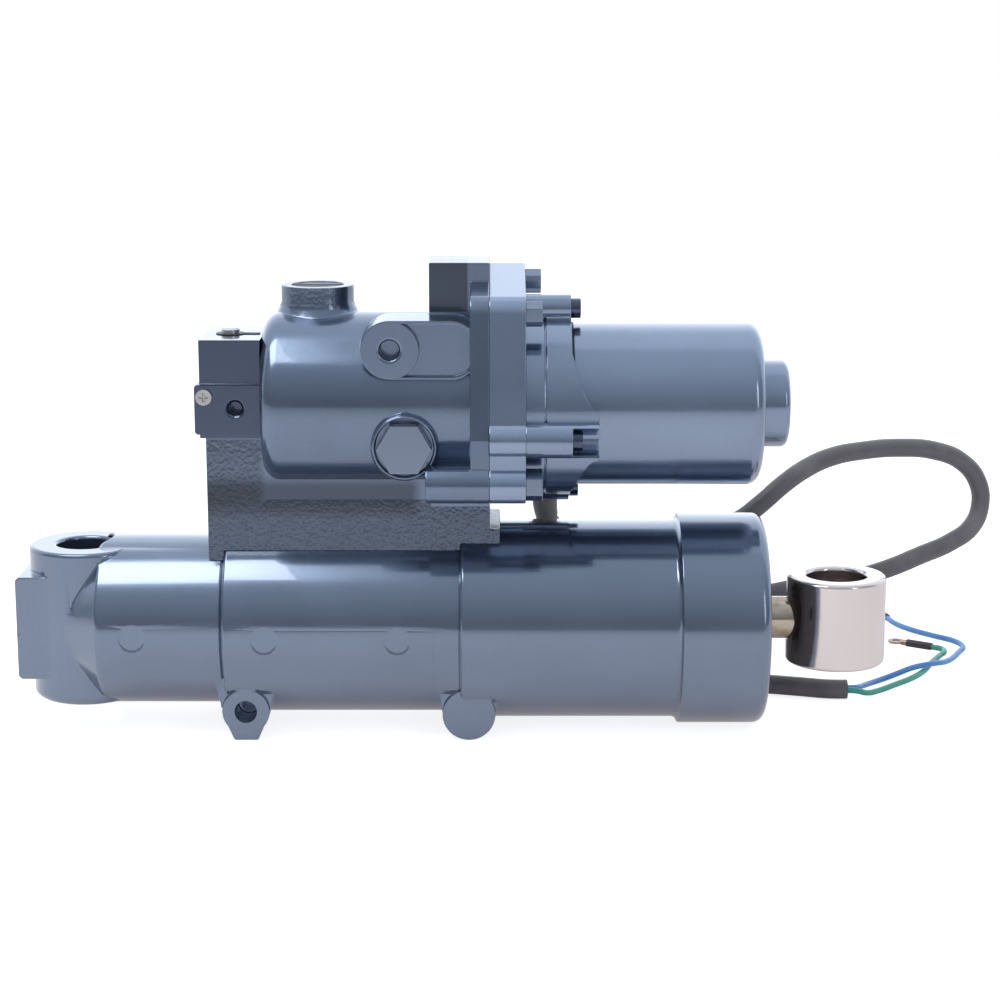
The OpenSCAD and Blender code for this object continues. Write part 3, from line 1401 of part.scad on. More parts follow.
// Places things at the end of a lead, with X running on from it
module at_end(points) {
    p = smooth(points, 2);
    last = len(p) - 1;
    d = p[last] - p[last - 1];
    translate(p[last]) rotate([0, 0, atan2(d[1], d[0])]) children();
}
module terminal_sleeves() {
    color([0.3, 0.27, 0.27]) {
        at_end(blue_points) rod_x(0, sleeve_len, sleeve_r);
        at_end(green_points) rod_x(0, sleeve_len, sleeve_r);
    }
}
module ring_terminals() {
    color([0.6, 0.52, 0.45]) {
        at_end(blue_points) ring_terminal();
        at_end(green_points) ring_terminal();
    }
}
module ring_terminal() {
    x1 = sleeve_len + terminal_barrel_len;
    centre_x = x1 + terminal_r - terminal_lap;
    rod_x(sleeve_len, x1, terminal_barrel_r);
    difference() {
        rod_z(-terminal_t / 2, terminal_t / 2, terminal_r, centre_x);
        rod_z(-terminal_t, terminal_t, terminal_hole_r, centre_x);
    }
}

cylinder_body();
cylinder_gland();
gland_oring();
rod_seal();
rod_wiper();
piston_ring();
piston();
piston_nut();
ram_rod();
ram_eye();
shock_valves();
free_piston();
free_piston_ring();
pump_housing();
adapter_plate();
flange_oring();
hex_plug();
plug_washer();
filler_plug();
flange_bolts();
valve_block();
manual_valve();
valve_circlip();
block_screws();
shuttle_piston();
front_check_valve();
rear_check_valve();
front_check_spring();
rear_check_spring();
check_cap();
relief_valve();
gear_case();
pump_cover();
drive_gear();
driven_gear();
gear_pin();
pump_screws();
suction_filter();
drive_coupling();
motor_base();
motor_oring();
motor_can();
magnets();
armature_shaft();
armature_core();
armature_windings();
commutator();
motor_bearings();
shaft_seal();
brush_holder();
brushes();
brush_springs();
motor_screws();
lead_grommet();
motor_cable();
blue_lead();
green_lead();
terminal_sleeves();
ring_terminals();
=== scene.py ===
import json
from math import cos, pi, radians, sin

import bmesh
import bpy
from mathutils import Matrix, Vector

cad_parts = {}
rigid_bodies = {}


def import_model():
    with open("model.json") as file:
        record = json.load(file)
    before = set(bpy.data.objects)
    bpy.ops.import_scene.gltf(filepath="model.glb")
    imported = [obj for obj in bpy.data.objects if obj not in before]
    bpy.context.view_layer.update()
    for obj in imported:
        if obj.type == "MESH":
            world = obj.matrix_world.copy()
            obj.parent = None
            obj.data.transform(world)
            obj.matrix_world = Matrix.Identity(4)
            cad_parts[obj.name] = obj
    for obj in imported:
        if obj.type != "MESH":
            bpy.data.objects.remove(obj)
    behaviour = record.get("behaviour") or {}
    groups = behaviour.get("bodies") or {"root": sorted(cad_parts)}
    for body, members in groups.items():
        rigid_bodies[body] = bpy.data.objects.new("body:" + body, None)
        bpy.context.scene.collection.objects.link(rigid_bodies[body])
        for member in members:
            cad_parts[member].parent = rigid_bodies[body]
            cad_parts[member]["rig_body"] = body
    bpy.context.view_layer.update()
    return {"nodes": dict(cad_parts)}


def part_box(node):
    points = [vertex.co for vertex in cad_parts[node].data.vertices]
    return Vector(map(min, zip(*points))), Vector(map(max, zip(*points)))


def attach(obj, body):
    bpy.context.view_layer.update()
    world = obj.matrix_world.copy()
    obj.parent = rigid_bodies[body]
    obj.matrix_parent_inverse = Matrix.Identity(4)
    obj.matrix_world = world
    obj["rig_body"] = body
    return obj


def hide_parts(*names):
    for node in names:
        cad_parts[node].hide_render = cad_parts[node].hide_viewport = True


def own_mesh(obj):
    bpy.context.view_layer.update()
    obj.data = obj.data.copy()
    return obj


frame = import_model()
scene = bpy.context.scene
scene.view_settings.view_transform = "Standard"


# Camera: a long lens 1.1 m in front of the unit, 12 degrees above level, as the
# photograph was taken. The image is square.
lens_pitch = radians(12)
lens_aim = Vector((0.1954, 0.0, 0.0568))
lens_distance = 1.1
lens = bpy.data.cameras.new("long_lens")
lens.sensor_width = 36.0
lens.lens = 84.24
lens.clip_start, lens.clip_end = 0.05, 20.0
camera = bpy.data.objects.new("camera", lens)
camera.location = lens_aim + lens_distance * Vector((0, -cos(lens_pitch), sin(lens_pitch)))
camera.rotation_euler = (pi / 2 - lens_pitch, 0, 0)
scene.collection.objects.link(camera)
scene.camera = camera


# Motor cable: two insulated leads in one round rubber sheath, 9.5 mm thick. It leaves the
# motor base at the back, stands up in one stiff arch, goes down behind the ram eye and
# lies under the barrel to its cut end, where the two leads go on alone.
def fit(tree, kind, inputs=None, **settings):
    """Puts one node into a finish; an input that is a socket is joined, any other is set"""
    node = tree.nodes.new("ShaderNode" + kind)
    for name, value in settings.items():
        setattr(node, name, value)
    for name, value in (inputs or {}).items():
        if isinstance(value, bpy.types.NodeSocket):
            tree.links.new(value, node.inputs[name])
        else:
            node.inputs[name].default_value = value
    return node


def fade(tree, value, start, end, low=0.0, high=1.0):
    """low up to start, high from end on, and a straight change between them"""
    return fit(tree, "MapRange", {"Value": value, "From Min": start, "From Max": end,
                                  "To Min": low, "To Max": high}).outputs[0]


def reckon(tree, operation, *values):
    """One step of reckoning on up to three values"""
    return fit(tree, "Math", dict(enumerate(values)), operation=operation).outputs[0]


def emboss(tree, height, strength, depth, **under):
    """A bump of that depth in metres; Normal gives it the bump that lies under it"""
    return fit(tree, "Bump", {"Height": height, "Strength": strength, "Distance": depth,
                              **under}).outputs[0]


def effect(name, wanted, given):
    """An empty effect: a node group with its named inputs (kind, value) and outputs"""
    tree = bpy.data.node_groups.new(name, "ShaderNodeTree")
    for label, (kind, value) in wanted.items():
        socket = tree.interface.new_socket(label, in_out="INPUT", socket_type="NodeSocket" + kind)
        socket.default_value = value
    for label, kind in given.items():
        tree.interface.new_socket(label, in_out="OUTPUT", socket_type="NodeSocket" + kind)
    return tree, tree.nodes.new("NodeGroupInput").outputs, tree.nodes.new("NodeGroupOutput").inputs


def finish(name, **plain):
    """A new finish: its node tree and its shader, set to plain values"""
    material = bpy.data.materials.new(name)
    material.use_nodes = True
    tree = material.node_tree
    shader = tree.nodes["Principled BSDF"]
    for label, value in plain.items():
        shader.inputs[label.replace("_", " ")].default_value = value
    return material, tree, shader


# Moulding grain: the fine pits and slow changes of colour of rubber and moulded plastic,
# and the pale dust that keeps to some places.
grain, grain_in, grain_out = effect(
    "moulding_grain",
    {"Colour": ("Color", (0.5, 0.5, 0.5, 1)), "Dust": ("Color", (0.5, 0.5, 0.5, 1)),
     "Amount": ("Float", 0.2), "Fine": ("Float", 2500.0), "Stretch": ("Vector", (1, 1, 1))},
    {"Colour": "Color", "Dusty": "Float", "Height": "Float"})
grain_place = fit(grain, "TexCoord").outputs["Object"]
grain_along = fit(grain, "VectorMath", {0: grain_place, 1: grain_in["Stretch"]},
                  operation="MULTIPLY").outputs[0]
grain_slow = fit(grain, "TexNoise", {"Vector": grain_place, "Scale": 55.0, "Detail": 4.0})
grain_fine = fit(grain, "TexNoise", {"Vector": grain_along, "Scale": grain_in["Fine"],
                                     "Detail": 2.0})
grain_mask = fade(grain, grain_slow.outputs[0], 0.42, 0.68)
grain_much = reckon(grain, "MULTIPLY", grain_mask, grain_in["Amount"])
grain_tint = fit(grain, "Mix", {0: grain_much, 6: grain_in["Colour"], 7: grain_in["Dust"]},
                 data_type="RGBA")
grain.links.new(grain_tint.outputs[2], grain_out["Colour"])
grain.links.new(grain_much, grain_out["Dusty"])
grain.links.new(grain_fine.outputs[0], grain_out["Height"])


def moulded(name, colour, dust, amount, rough, pits, fine=2500.0, stretch=(1, 1, 1), **plain):
    """Rubber or moulded plastic in one colour, with its grain, some dust and pits so deep"""
    material, tree, shader = finish(name, **plain)
    grained = fit(tree, "Group", {"Colour": (*colour, 1), "Dust": (*dust, 1), "Amount": amount,
                                  "Fine": fine, "Stretch": stretch}, node_tree=grain).outputs
    dull = fade(tree, grained["Dusty"], 0.0, amount, rough, rough + 0.15)
    tree.links.new(grained["Colour"], shader.inputs["Base Color"])
    tree.links.new(dull, shader.inputs["Roughness"])
    tree.links.new(emboss(tree, grained["Height"], 0.6, pits), shader.inputs["Normal"])
    return material


def smooth_line(name, route, diameter, fineness):
    """A smooth curve through the places of its route, with a round section"""
    line = bpy.data.curves.new(name, "CURVE")
    line.dimensions = "3D"
    line.bevel_depth = diameter / 2
    line.bevel_resolution = fineness
    line.resolution_u = fineness
    line.use_fill_caps = True
    spline = line.splines.new("BEZIER")
    spline.bezier_points.add(len(route) - 1)
    for point, place in zip(spline.bezier_points, route):
        point.co = place
        point.handle_left_type = point.handle_right_type = "AUTO"
    return line


def laid_lead(name, route, diameter, sheath, node):
    """A lead on its route, which stands for its CAD node"""
    line = smooth_line(name, route, diameter, 5)
    line.materials.append(sheath)
    lead = bpy.data.objects.new(name, line)
    scene.collection.objects.link(lead)
    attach(lead, "unit")
    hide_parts(node)
    return lead


cable_sheath = moulded("cable_sheath", (0.15, 0.14, 0.15), dust=(0.28, 0.26, 0.27), amount=0.5,
                       rough=0.36, pits=0.00006, fine=900.0)
cable_route = [
    (0.217, 0.029, 0.056), (0.217, 0.029, 0.0515), (0.2175, 0.0325, 0.045), (0.22, 0.039, 0.0375),
    (0.226, 0.045, 0.0315), (0.236, 0.0505, 0.027), (0.249, 0.0545, 0.0245),
    (0.265, 0.057, 0.023), (0.282, 0.0575, 0.024), (0.3, 0.0565, 0.0285), (0.314, 0.0555, 0.035),
    (0.325, 0.056, 0.0435), (0.335, 0.0595, 0.0515), (0.347, 0.066, 0.0585),
    (0.361, 0.0745, 0.063), (0.378, 0.0845, 0.0643), (0.399, 0.095, 0.0638),
    (0.4185, 0.1035, 0.0607), (0.434, 0.11, 0.0535), (0.4431, 0.113, 0.0423),
    (0.4449, 0.113, 0.03), (0.4403, 0.11, 0.0195), (0.4285, 0.1045, 0.0123),
    (0.412, 0.097, 0.0072), (0.393, 0.0885, 0.0018), (0.374, 0.081, -0.0015),
    (0.355, 0.075, -0.003), (0.336, 0.071, -0.0055), (0.317, 0.071, -0.01),
    (0.298, 0.074, -0.0175), (0.28, 0.08, -0.0265), (0.264, 0.0885, -0.035),
    (0.249, 0.099, -0.0415), (0.236, 0.1095, -0.0445), (0.222, 0.117, -0.0449),
    (0.207, 0.117, -0.0449), (0.193, 0.11, -0.0449), (0.184, 0.097, -0.0449),
    (0.182, 0.081, -0.0449), (0.187, 0.066, -0.0449), (0.198, 0.054, -0.0449),
    (0.213, 0.047, -0.0449), (0.231, 0.044, -0.0449), (0.254, 0.044, -0.0449),
    (0.28, 0.044, -0.0449), (0.305, 0.043, -0.0449), (0.326, 0.04, -0.0449),
    (0.343, 0.0355, -0.0449), (0.356, 0.0315, -0.0449), (0.361, 0.031, -0.0449),
    (0.366, 0.031, -0.0449)]
cable = laid_lead("cable", cable_route, 0.0095, cable_sheath, "motor_cable")


# Blue and green lead: stranded copper in glossy PVC, 2.9 mm thick. They come out of the
# end of the sheath side by side, cross once and end in crimped rings.
blue_pvc = moulded("blue_pvc", (0.075, 0.30, 0.80), dust=(0.17, 0.44, 0.86), amount=0.5,
                   rough=0.22, pits=0.00002, Specular_IOR_Level=0.6)
green_pvc = moulded("green_pvc", (0.030, 0.42, 0.30), dust=(0.10, 0.52, 0.40), amount=0.5,
                    rough=0.24, pits=0.00002, Specular_IOR_Level=0.6)
blue_route = [
    (0.366, 0.033, -0.0449), (0.368, 0.033, -0.0449), (0.3705, 0.034, -0.0451),
    (0.375, 0.0415, -0.0464), (0.381, 0.0515, -0.0478), (0.389, 0.0605, -0.0482),
    (0.3975, 0.067, -0.0472), (0.405, 0.071, -0.0456), (0.412, 0.074, -0.0449),
    (0.4185, 0.079, -0.0454), (0.4245, 0.087, -0.047), (0.4305, 0.0975, -0.0481),
    (0.436, 0.109, -0.0482), (0.4405, 0.12, -0.0482), (0.4385, 0.131, -0.0482),
    (0.4285, 0.143, -0.0482), (0.419, 0.155, -0.0482), (0.413, 0.167, -0.0482),
    (0.41, 0.18, -0.0482)]
green_route = [
    (0.366, 0.0289, -0.0449), (0.368, 0.0289, -0.0449), (0.3705, 0.0292, -0.0452),
    (0.376, 0.0325, -0.0472), (0.383, 0.0395, -0.0482), (0.393, 0.05, -0.0482),
    (0.403, 0.061, -0.0482), (0.4115, 0.074, -0.0482), (0.418, 0.089, -0.0482),
    (0.425, 0.103, -0.0482), (0.429, 0.111, -0.0482), (0.4283, 0.1165, -0.0482),
    (0.424, 0.12, -0.0482)]
blue = laid_lead("blue_strand", blue_route, 0.0029, blue_pvc, "blue_lead")
green = laid_lead("green_strand", green_route, 0.0029, green_pvc, "green_lead")


# Sleeves: heat-shrunk tubing, one on each lead over the crimp of its ring, dark and a
# little wrinkled.
def dress(surface, *nodes):
    """Gives CAD pieces whose shape is right their finish"""
    for node in nodes:
        mesh = frame["nodes"][node].data
        mesh.materials.clear()
        mesh.materials.append(surface)


shrink_tube = moulded("shrink_tube", (0.045, 0.032, 0.038), dust=(0.12, 0.09, 0.09), amount=0.5,
                      rough=0.38, pits=0.0001, fine=600.0)
dress(shrink_tube, "terminal_sleeves")


# Tool marks: the fine lines that a lathe, a mill or a grinding belt leaves on bare metal,
# and the stains that it gets in use.
marks, marks_in, marks_out = effect(
    "tool_marks",
    {"Colour": ("Color", (0.6, 0.6, 0.6, 1)), "Stain": ("Color", (0.3, 0.25, 0.2, 1)),
     "Amount": ("Float", 0.15), "Pitch": ("Float", 3000.0), "Stretch": ("Vector", (1, 0.03, 0.03))},
    {"Colour": "Color", "Stained": "Float", "Height": "Float"})
marks_place = fit(marks, "TexCoord").outputs["Object"]
marks_along = fit(marks, "VectorMath", {0: marks_place, 1: marks_in["Stretch"]},
                  operation="MULTIPLY").outputs[0]
marks_lines = fit(marks, "TexNoise", {"Vector": marks_along, "Scale": marks_in["Pitch"],
                                      "Detail": 3.0})
marks_slow = fit(marks, "TexNoise", {"Vector": marks_place, "Scale": 120.0, "Detail": 5.0,
                                     "Roughness": 0.6})
marks_mask = fade(marks, marks_slow.outputs[0], 0.45, 0.72)
marks_much = reckon(marks, "MULTIPLY", marks_mask, marks_in["Amount"])
marks_tint = fit(marks, "Mix", {0: marks_much, 6: marks_in["Colour"], 7: marks_in["Stain"]},
                 data_type="RGBA")
marks.links.new(marks_tint.outputs[2], marks_out["Colour"])
marks.links.new(marks_much, marks_out["Stained"])
marks.links.new(marks_lines.outputs[0], marks_out["Height"])


def bare_metal(name, colour, stain, amount, rough, depth, pitch=3000.0, stretch=(1, 0.03, 0.03)):
    """Bare or plated metal with its tool marks so deep, and stains that are duller"""
    material, tree, shader = finish(name, Metallic=1.0)
    marked = fit(tree, "Group", {"Colour": (*colour, 1), "Stain": (*stain, 1), "Amount": amount,
                                 "Pitch": pitch, "Stretch": stretch}, node_tree=marks).outputs
    dull = fade(tree, marked["Stained"], 0.0, amount, rough, rough + min(0.2, 2 * amount))
    ragged = fade(tree, marked["Height"], 0.3, 0.7, -0.05, 0.05)
    both = fit(tree, "Math", {0: dull, 1: ragged}, operation="ADD", use_clamp=True).outputs[0]
    tree.links.new(marked["Colour"], shader.inputs["Base Color"])
    tree.links.new(both, shader.inputs["Roughness"])
    tree.links.new(emboss(tree, marked["Height"], 0.5, depth), shader.inputs["Normal"])
    return material


# Ring terminals: stamped and tinned copper rings, one crimped on each lead. The tin is
# dull and has brown stains.
tin = bare_metal("tin", (0.42, 0.33, 0.28), stain=(0.15, 0.08, 0.05), amount=0.6, rough=0.35,
                 depth=0.00002, pitch=1500.0, stretch=(1, 1, 1))
dress(tin, "ring_terminals")


# Grommet: a grey-beige rubber sleeve that is pushed into the motor base from below and
# holds the cable. It has a rim at its foot and three ribs above it.
grommet_rubber = moulded("grommet_rubber", (0.42, 0.38, 0.33), dust=(0.55, 0.50, 0.44),
                         amount=0.4, rough=0.6, pits=0.00006)


def turned(name, outline, centre, surface, body, node):
    """A round piece spun from its outline of (radius, height) about an upright axis"""
    form = bmesh.new()
    points = [form.verts.new((centre[0] + radius, centre[1], height))
              for radius, height in outline]
    line = [form.edges.new(pair) for pair in zip(points, points[1:])]
    bmesh.ops.spin(form, geom=points + line, cent=(centre[0], centre[1], 0), axis=(0, 0, 1),
                   angle=2 * pi, steps=48, use_merge=True)
    bmesh.ops.remove_doubles(form, verts=form.verts, dist=1e-6)
    bmesh.ops.recalc_face_normals(form, faces=form.faces)
    mesh = bpy.data.meshes.new(name)
    form.to_mesh(mesh)
    form.free()
    mesh.shade_smooth()
    mesh.set_sharp_from_angle(angle=radians(35))
    mesh.materials.append(surface)
    piece = bpy.data.objects.new(name, mesh)
    scene.collection.objects.link(piece)
    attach(piece, body)
    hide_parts(node)


grommet_low, grommet_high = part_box("lead_grommet")
grommet_z, grommet_top = grommet_low.z, grommet_high.z
grommet_outline = [
    (0.0, grommet_z), (0.0070, grommet_z), (0.0076, grommet_z + 0.0006),
    (0.0076, grommet_z + 0.0019), (0.0072, grommet_z + 0.0024),
    (0.0058, grommet_z + 0.0028), (0.0058, grommet_z + 0.0040),
    (0.0062, grommet_z + 0.0045), (0.0062, grommet_z + 0.0060), (0.0058, grommet_z + 0.0065),
    (0.0058, grommet_z + 0.0077), (0.0063, grommet_z + 0.0082), (0.0063, grommet_z + 0.0100),
    (0.0059, grommet_z + 0.0105), (0.0059, grommet_z + 0.0117), (0.0064, grommet_z + 0.0122),
    (0.0064, grommet_top - 0.0008), (0.0056, grommet_top), (0.0, grommet_top)]
turned("grommet", grommet_outline, (0.217, 0.029), grommet_rubber, "unit",
       "lead_grommet")

# The grommet's tail goes on down round the cable, bends with it and thins to its mouth.
tail_route = [(0.217, 0.029, 0.0585), (0.217, 0.029, 0.0515), (0.2173, 0.0312, 0.0470),
              (0.2180, 0.0343, 0.0425)]
tail_girths = (1.30, 1.27, 1.22, 1.16)
tail_line = smooth_line("grommet_tail_line", tail_route, 0.0095, 6)
for point, girth in zip(tail_line.splines[0].bezier_points, tail_girths):
    point.radius = girth
tail_curve = bpy.data.objects.new("grommet_tail_curve", tail_line)
scene.collection.objects.link(tail_curve)
bpy.context.view_layer.update()
tail_shape = tail_curve.evaluated_get(bpy.context.evaluated_depsgraph_get())
tail_mesh = bpy.data.meshes.new_from_object(tail_shape)
bpy.data.objects.remove(tail_curve)
tail_mesh.shade_smooth()
tail_mesh.materials.clear()
tail_mesh.materials.append(grommet_rubber)
grommet_tail = bpy.data.objects.new("grommet_tail", tail_mesh)
scene.collection.objects.link(grommet_tail)
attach(grommet_tail, "unit")


# Slate paint: the blue-grey metallic marine paint of the whole unit, with fine aluminium
# flakes in the colour coat, a thick clear coat over it and a little orange peel.
skin, skin_in, skin_out = effect(
    "paint_skin",
    {"Colour": ("Color", (0.2, 0.3, 0.4, 1)), "Flake": ("Float", 0.2)},
    {"Colour": "Color", "Roughness": "Float", "Peel": "Float"})
skin_place = fit(skin, "TexCoord").outputs["Object"]
skin_flakes = fit(skin, "TexNoise", {"Vector": skin_place, "Scale": 3800.0, "Detail": 1.0})
skin_clouds = fit(skin, "TexNoise", {"Vector": skin_place, "Scale": 22.0, "Detail": 3.0})
skin_peel = fit(skin, "TexNoise", {"Vector": skin_place, "Scale": 420.0, "Detail": 1.5})
skin_bright = fade(skin, skin_flakes.outputs[0], 0.35, 0.7, -0.5, 1.0)
skin_much = reckon(skin, "MULTIPLY", skin_bright, skin_in["Flake"])
skin_cloud = fade(skin, skin_clouds.outputs[0], 0.3, 0.7, 0.94, 1.06)
skin_gain = reckon(skin, "ADD", skin_cloud, skin_much)
skin_tint = fit(skin, "VectorMath", {0: skin_in["Colour"], "Scale": skin_gain},
                operation="SCALE")
skin_rough = fade(skin, skin_clouds.outputs[0], 0.3, 0.7, 0.16, 0.24)
skin.links.new(skin_tint.outputs[0], skin_out["Colour"])
skin.links.new(skin_rough, skin_out["Roughness"])
skin.links.new(skin_peel.outputs[0], skin_out["Peel"])


# Pin marks: three round flats, 0.4 mm deep, that the mould's ejector pins left on the
# front of the barrel. Their places are in metres.
first_pin_x, pin_pitch, last_pin_end = 0.0264, 0.061, 0.165
pin_r, pin_depth, pin_front_y, front_half_y = 0.006, 0.0004, -0.035, -0.02


def pin_rims(tree, place):
    """A step up at the rim of each pin mark"""
    way = fit(tree, "SeparateXYZ", {0: place}).outputs
    along = reckon(tree, "WRAP", way["X"], first_pin_x + pin_pitch / 2,
                   first_pin_x - pin_pitch / 2)
    off = reckon(tree, "SUBTRACT", along, first_pin_x)
    flat = fit(tree, "CombineXYZ", {0: off, 1: way["Z"]}).outputs[0]
    far = fit(tree, "VectorMath", {0: flat}, operation="LENGTH").outputs["Value"]
    step = fade(tree, far, 0.9 * pin_r, 1.1 * pin_r)
    before_end = reckon(tree, "LESS_THAN", way["X"], last_pin_end)
    at_front = reckon(tree, "LESS_THAN", way["Y"], front_half_y)
    here = reckon(tree, "MULTIPLY", before_end, at_front)
    return reckon(tree, "MULTIPLY", step, here)


# Sand skin: the bracket keeps the grain of its sand mould, the neck a little of it. Each
# place is in metres, or the pair of places between which something fades.
bracket_top, column_top, column_right = (0.056, 0.062), (0.084, 0.090), (0.084, 0.088)
neck_foot, neck_right = (0.1478, 0.1500), 0.120
# Painted shade: between the web places the pump body's shadow is painted on the thin web, and
# between the crown places a dark reflection is painted on the crown's flat face.
web_shadow_foot, web_shadow_top, web_shadow_right = (0.052, 0.060), (0.068, 0.074), (0.155, 0.160)
crown_shade_foot, crown_shade_left, crown_shade_right = (0.1475, 0.1480), (0.140, 0.150), 0.1806


def sand_skin_and_shade(tree, place):
    """The height of the pump housing's sand skin, and how bright its paint is: it is darker on the
    skin, and has painted shade, a painted shadow under the pump body and a painted dark reflection
    on the block on top"""
    pebbles = fit(tree, "TexVoronoi", {"Vector": place, "Scale": 520.0, "Smoothness": 1.0},
                  feature="SMOOTH_F1")
    crumbs = fit(tree, "TexNoise", {"Vector": place, "Scale": 620.0, "Detail": 3.0})
    grains = reckon(tree, "MULTIPLY_ADD", crumbs.outputs[0], 2.2, pebbles.outputs["Distance"])
    way = fit(tree, "SeparateXYZ", {0: place}).outputs
    bracket = fade(tree, way["Z"], *bracket_top, 1.0, 0.0)
    column = reckon(tree, "MULTIPLY", fade(tree, way["X"], *column_right, 0.8, 0.0),
                    fade(tree, way["Z"], *column_top, 1.0, 0.0))
    neck = reckon(tree, "MULTIPLY", fade(tree, way["Z"], *neck_foot, 0.0, 0.45),
                  reckon(tree, "LESS_THAN", way["X"], neck_right))
    rough = reckon(tree, "MAXIMUM", reckon(tree, "MAXIMUM", bracket, column), neck)
    # Painted shadow of the pump body on the thin web under it.
    web_shadow = reckon(tree, "MULTIPLY", fade(tree, way["Z"], *web_shadow_foot, 0.0, 0.6),
                 fade(tree, way["Z"], *web_shadow_top, 1.0, 0.0))
    web_shadow = reckon(tree, "MULTIPLY", web_shadow, fade(tree, way["X"], *web_shadow_right, 1.0, 0.0))
    # Painted shade: the dark reflection on the crown's flat face.
    crown_shade = reckon(tree, "MULTIPLY", fade(tree, way["X"], *crown_shade_left),
                   reckon(tree, "LESS_THAN", way["X"], crown_shade_right))
    crown_shade = reckon(tree, "MULTIPLY", fade(tree, way["Z"], *crown_shade_foot, 0.0, 0.62), crown_shade)
    left = reckon(tree, "SUBTRACT", 1.0, reckon(tree, "MAXIMUM", web_shadow, crown_shade))
    tone_and_shade = reckon(tree, "MULTIPLY", left, fade(tree, rough, 0.0, 1.0, 1.0, 0.62))
    return reckon(tree, "MULTIPLY", grains, rough), tone_and_shade


def slate_paint(name, colour=(0.163, 0.213, 0.303), clear=1.0, pins=False, sand=False):
    """The unit's paint in that colour, under so much clear coat; pins adds the rims of the pin
    marks, and sand the sand skin of the pump housing with its painted shade"""
    material, tree, shader = finish(name, Metallic=0.85, Coat_Weight=clear, Coat_Roughness=0.02,
                                    Coat_IOR=1.6)
    coat = fit(tree, "Group", {"Colour": (*colour, 1), "Flake": 0.16}, node_tree=skin).outputs
    cover = coat["Colour"]
    bump = emboss(tree, coat["Peel"], 0.5, 0.00002)
    place = fit(tree, "TexCoord").outputs["Object"]
    if pins:
        bump = emboss(tree, pin_rims(tree, place), 1.0, pin_depth, Normal=bump)
    # The sand skin, and the painted shade on the pump housing's web and crown.
    if sand:
        height, tone_and_shade = sand_skin_and_shade(tree, place)
        cover = fit(tree, "VectorMath", {0: cover, "Scale": tone_and_shade}, operation="SCALE").outputs[0]
        bump = emboss(tree, height, 0.9, 0.0005, Normal=bump)
    tree.links.new(cover, shader.inputs["Base Color"])
    tree.links.new(coat["Roughness"], shader.inputs["Roughness"])
    tree.links.new(bump, shader.inputs["Normal"])
    return material


paint = slate_paint("slate_paint")
cylinder_paint = slate_paint("cylinder_slate_paint", pins=True)
# A lighter copy of the paint for the motor base and can: painted light, the broad sheen of the
# light from above.
lit_paint = slate_paint("lit_slate_paint", colour=(0.222, 0.290, 0.410))
# A still lighter copy for the adapter plate: painted reflection, the bright sheen of its flat face.
lit_plate_paint = slate_paint("lit_plate_slate_paint", colour=(0.26, 0.335, 0.47))
rough_paint_with_shade = slate_paint("rough_cast_paint_with_shade", clear=0.45, sand=True)


# Cylinder body: one aluminium casting with the base eye, the tail block, the barrel in
# three steps, two lugs and the flared end collar. It is fettled, bored and painted.
# Its points join within weld, and a file breaks the edges that turn more than corner_turn.
weld, level_turn, corner_turn, sharp_turn = 2e-6, radians(0.6), radians(30), radians(38)


def fettled(name, node, surface, edge, keep=None):
    """A casting or machined piece with its edges broken, all but the shallow ones that
    keep picks out; it stands for its CAD node"""
    mesh = frame["nodes"][node].data.copy()
    mesh.name = name
    for old in ("custom_normal", "sharp_face", "sharp_edge"):
        if old in mesh.attributes:
            mesh.attributes.remove(mesh.attributes[old])
    form = bmesh.new()
    form.from_mesh(mesh)
    bmesh.ops.remove_doubles(form, verts=form.verts, dist=weld)
    bmesh.ops.dissolve_limit(form, angle_limit=level_turn, verts=form.verts, edges=form.edges)
    bmesh.ops.dissolve_degenerate(form, edges=form.edges, dist=edge / 7)
    corners = [e for e in form.edges
               if len(e.link_faces) == 2 and e.calc_face_angle(0) > corner_turn
               and not (keep and keep((e.verts[0].co + e.verts[1].co) / 2))]
    bmesh.ops.bevel(form, geom=corners, offset=edge, offset_type="OFFSET", affect="EDGES",
                    segments=2, profile=0.5, material=-1, loop_slide=True)
    bmesh.ops.dissolve_degenerate(form, edges=form.edges, dist=edge / 7)
    form.to_mesh(mesh)
    form.free()
    mesh.shade_smooth()
    mesh.set_sharp_from_angle(angle=sharp_turn)
    mesh.materials.clear()
    mesh.materials.append(surface)
    piece = bpy.data.objects.new(name, mesh)
    scene.collection.objects.link(piece)
    level = piece.modifiers.new("even_faces", "WEIGHTED_NORMAL")
    level.keep_sharp = True
    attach(piece, frame["nodes"][node]["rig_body"])
    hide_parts(node)


# The tail's flats run out on the barrel between these two places along it, this far up
# and down, and beyond this depth on each side.
flats_left, flats_right, flats_z, flats_y = -0.008, 0.004, 0.012, 0.018


def shallow_edge(place):
    """True at the pin marks, and at the points where the tail's flats run out"""
    near = min(abs(place.x - first_pin_x - pin_pitch * number) for number in range(3))
    marked = max(near, abs(place.z)) < 1.1 * pin_r and place.y < pin_front_y
    flats_end = flats_left < place.x < flats_right and abs(place.z) < flats_z
    return marked or (flats_end and abs(place.y) > flats_y)


fettled("cylinder_casting", "cylinder_body", cylinder_paint, edge=0.0007,
        keep=shallow_edge)


# Gland and ram: the gland screws into the collar and guides the rod; the rod is ground
# and hard-chromed, the eye on its end is turned from steel and plated.
black_oxide = bare_metal("black_oxide", (0.075, 0.078, 0.085), stain=(0.16, 0.15, 0.14),
                         amount=0.35, rough=0.38, depth=0.00002)
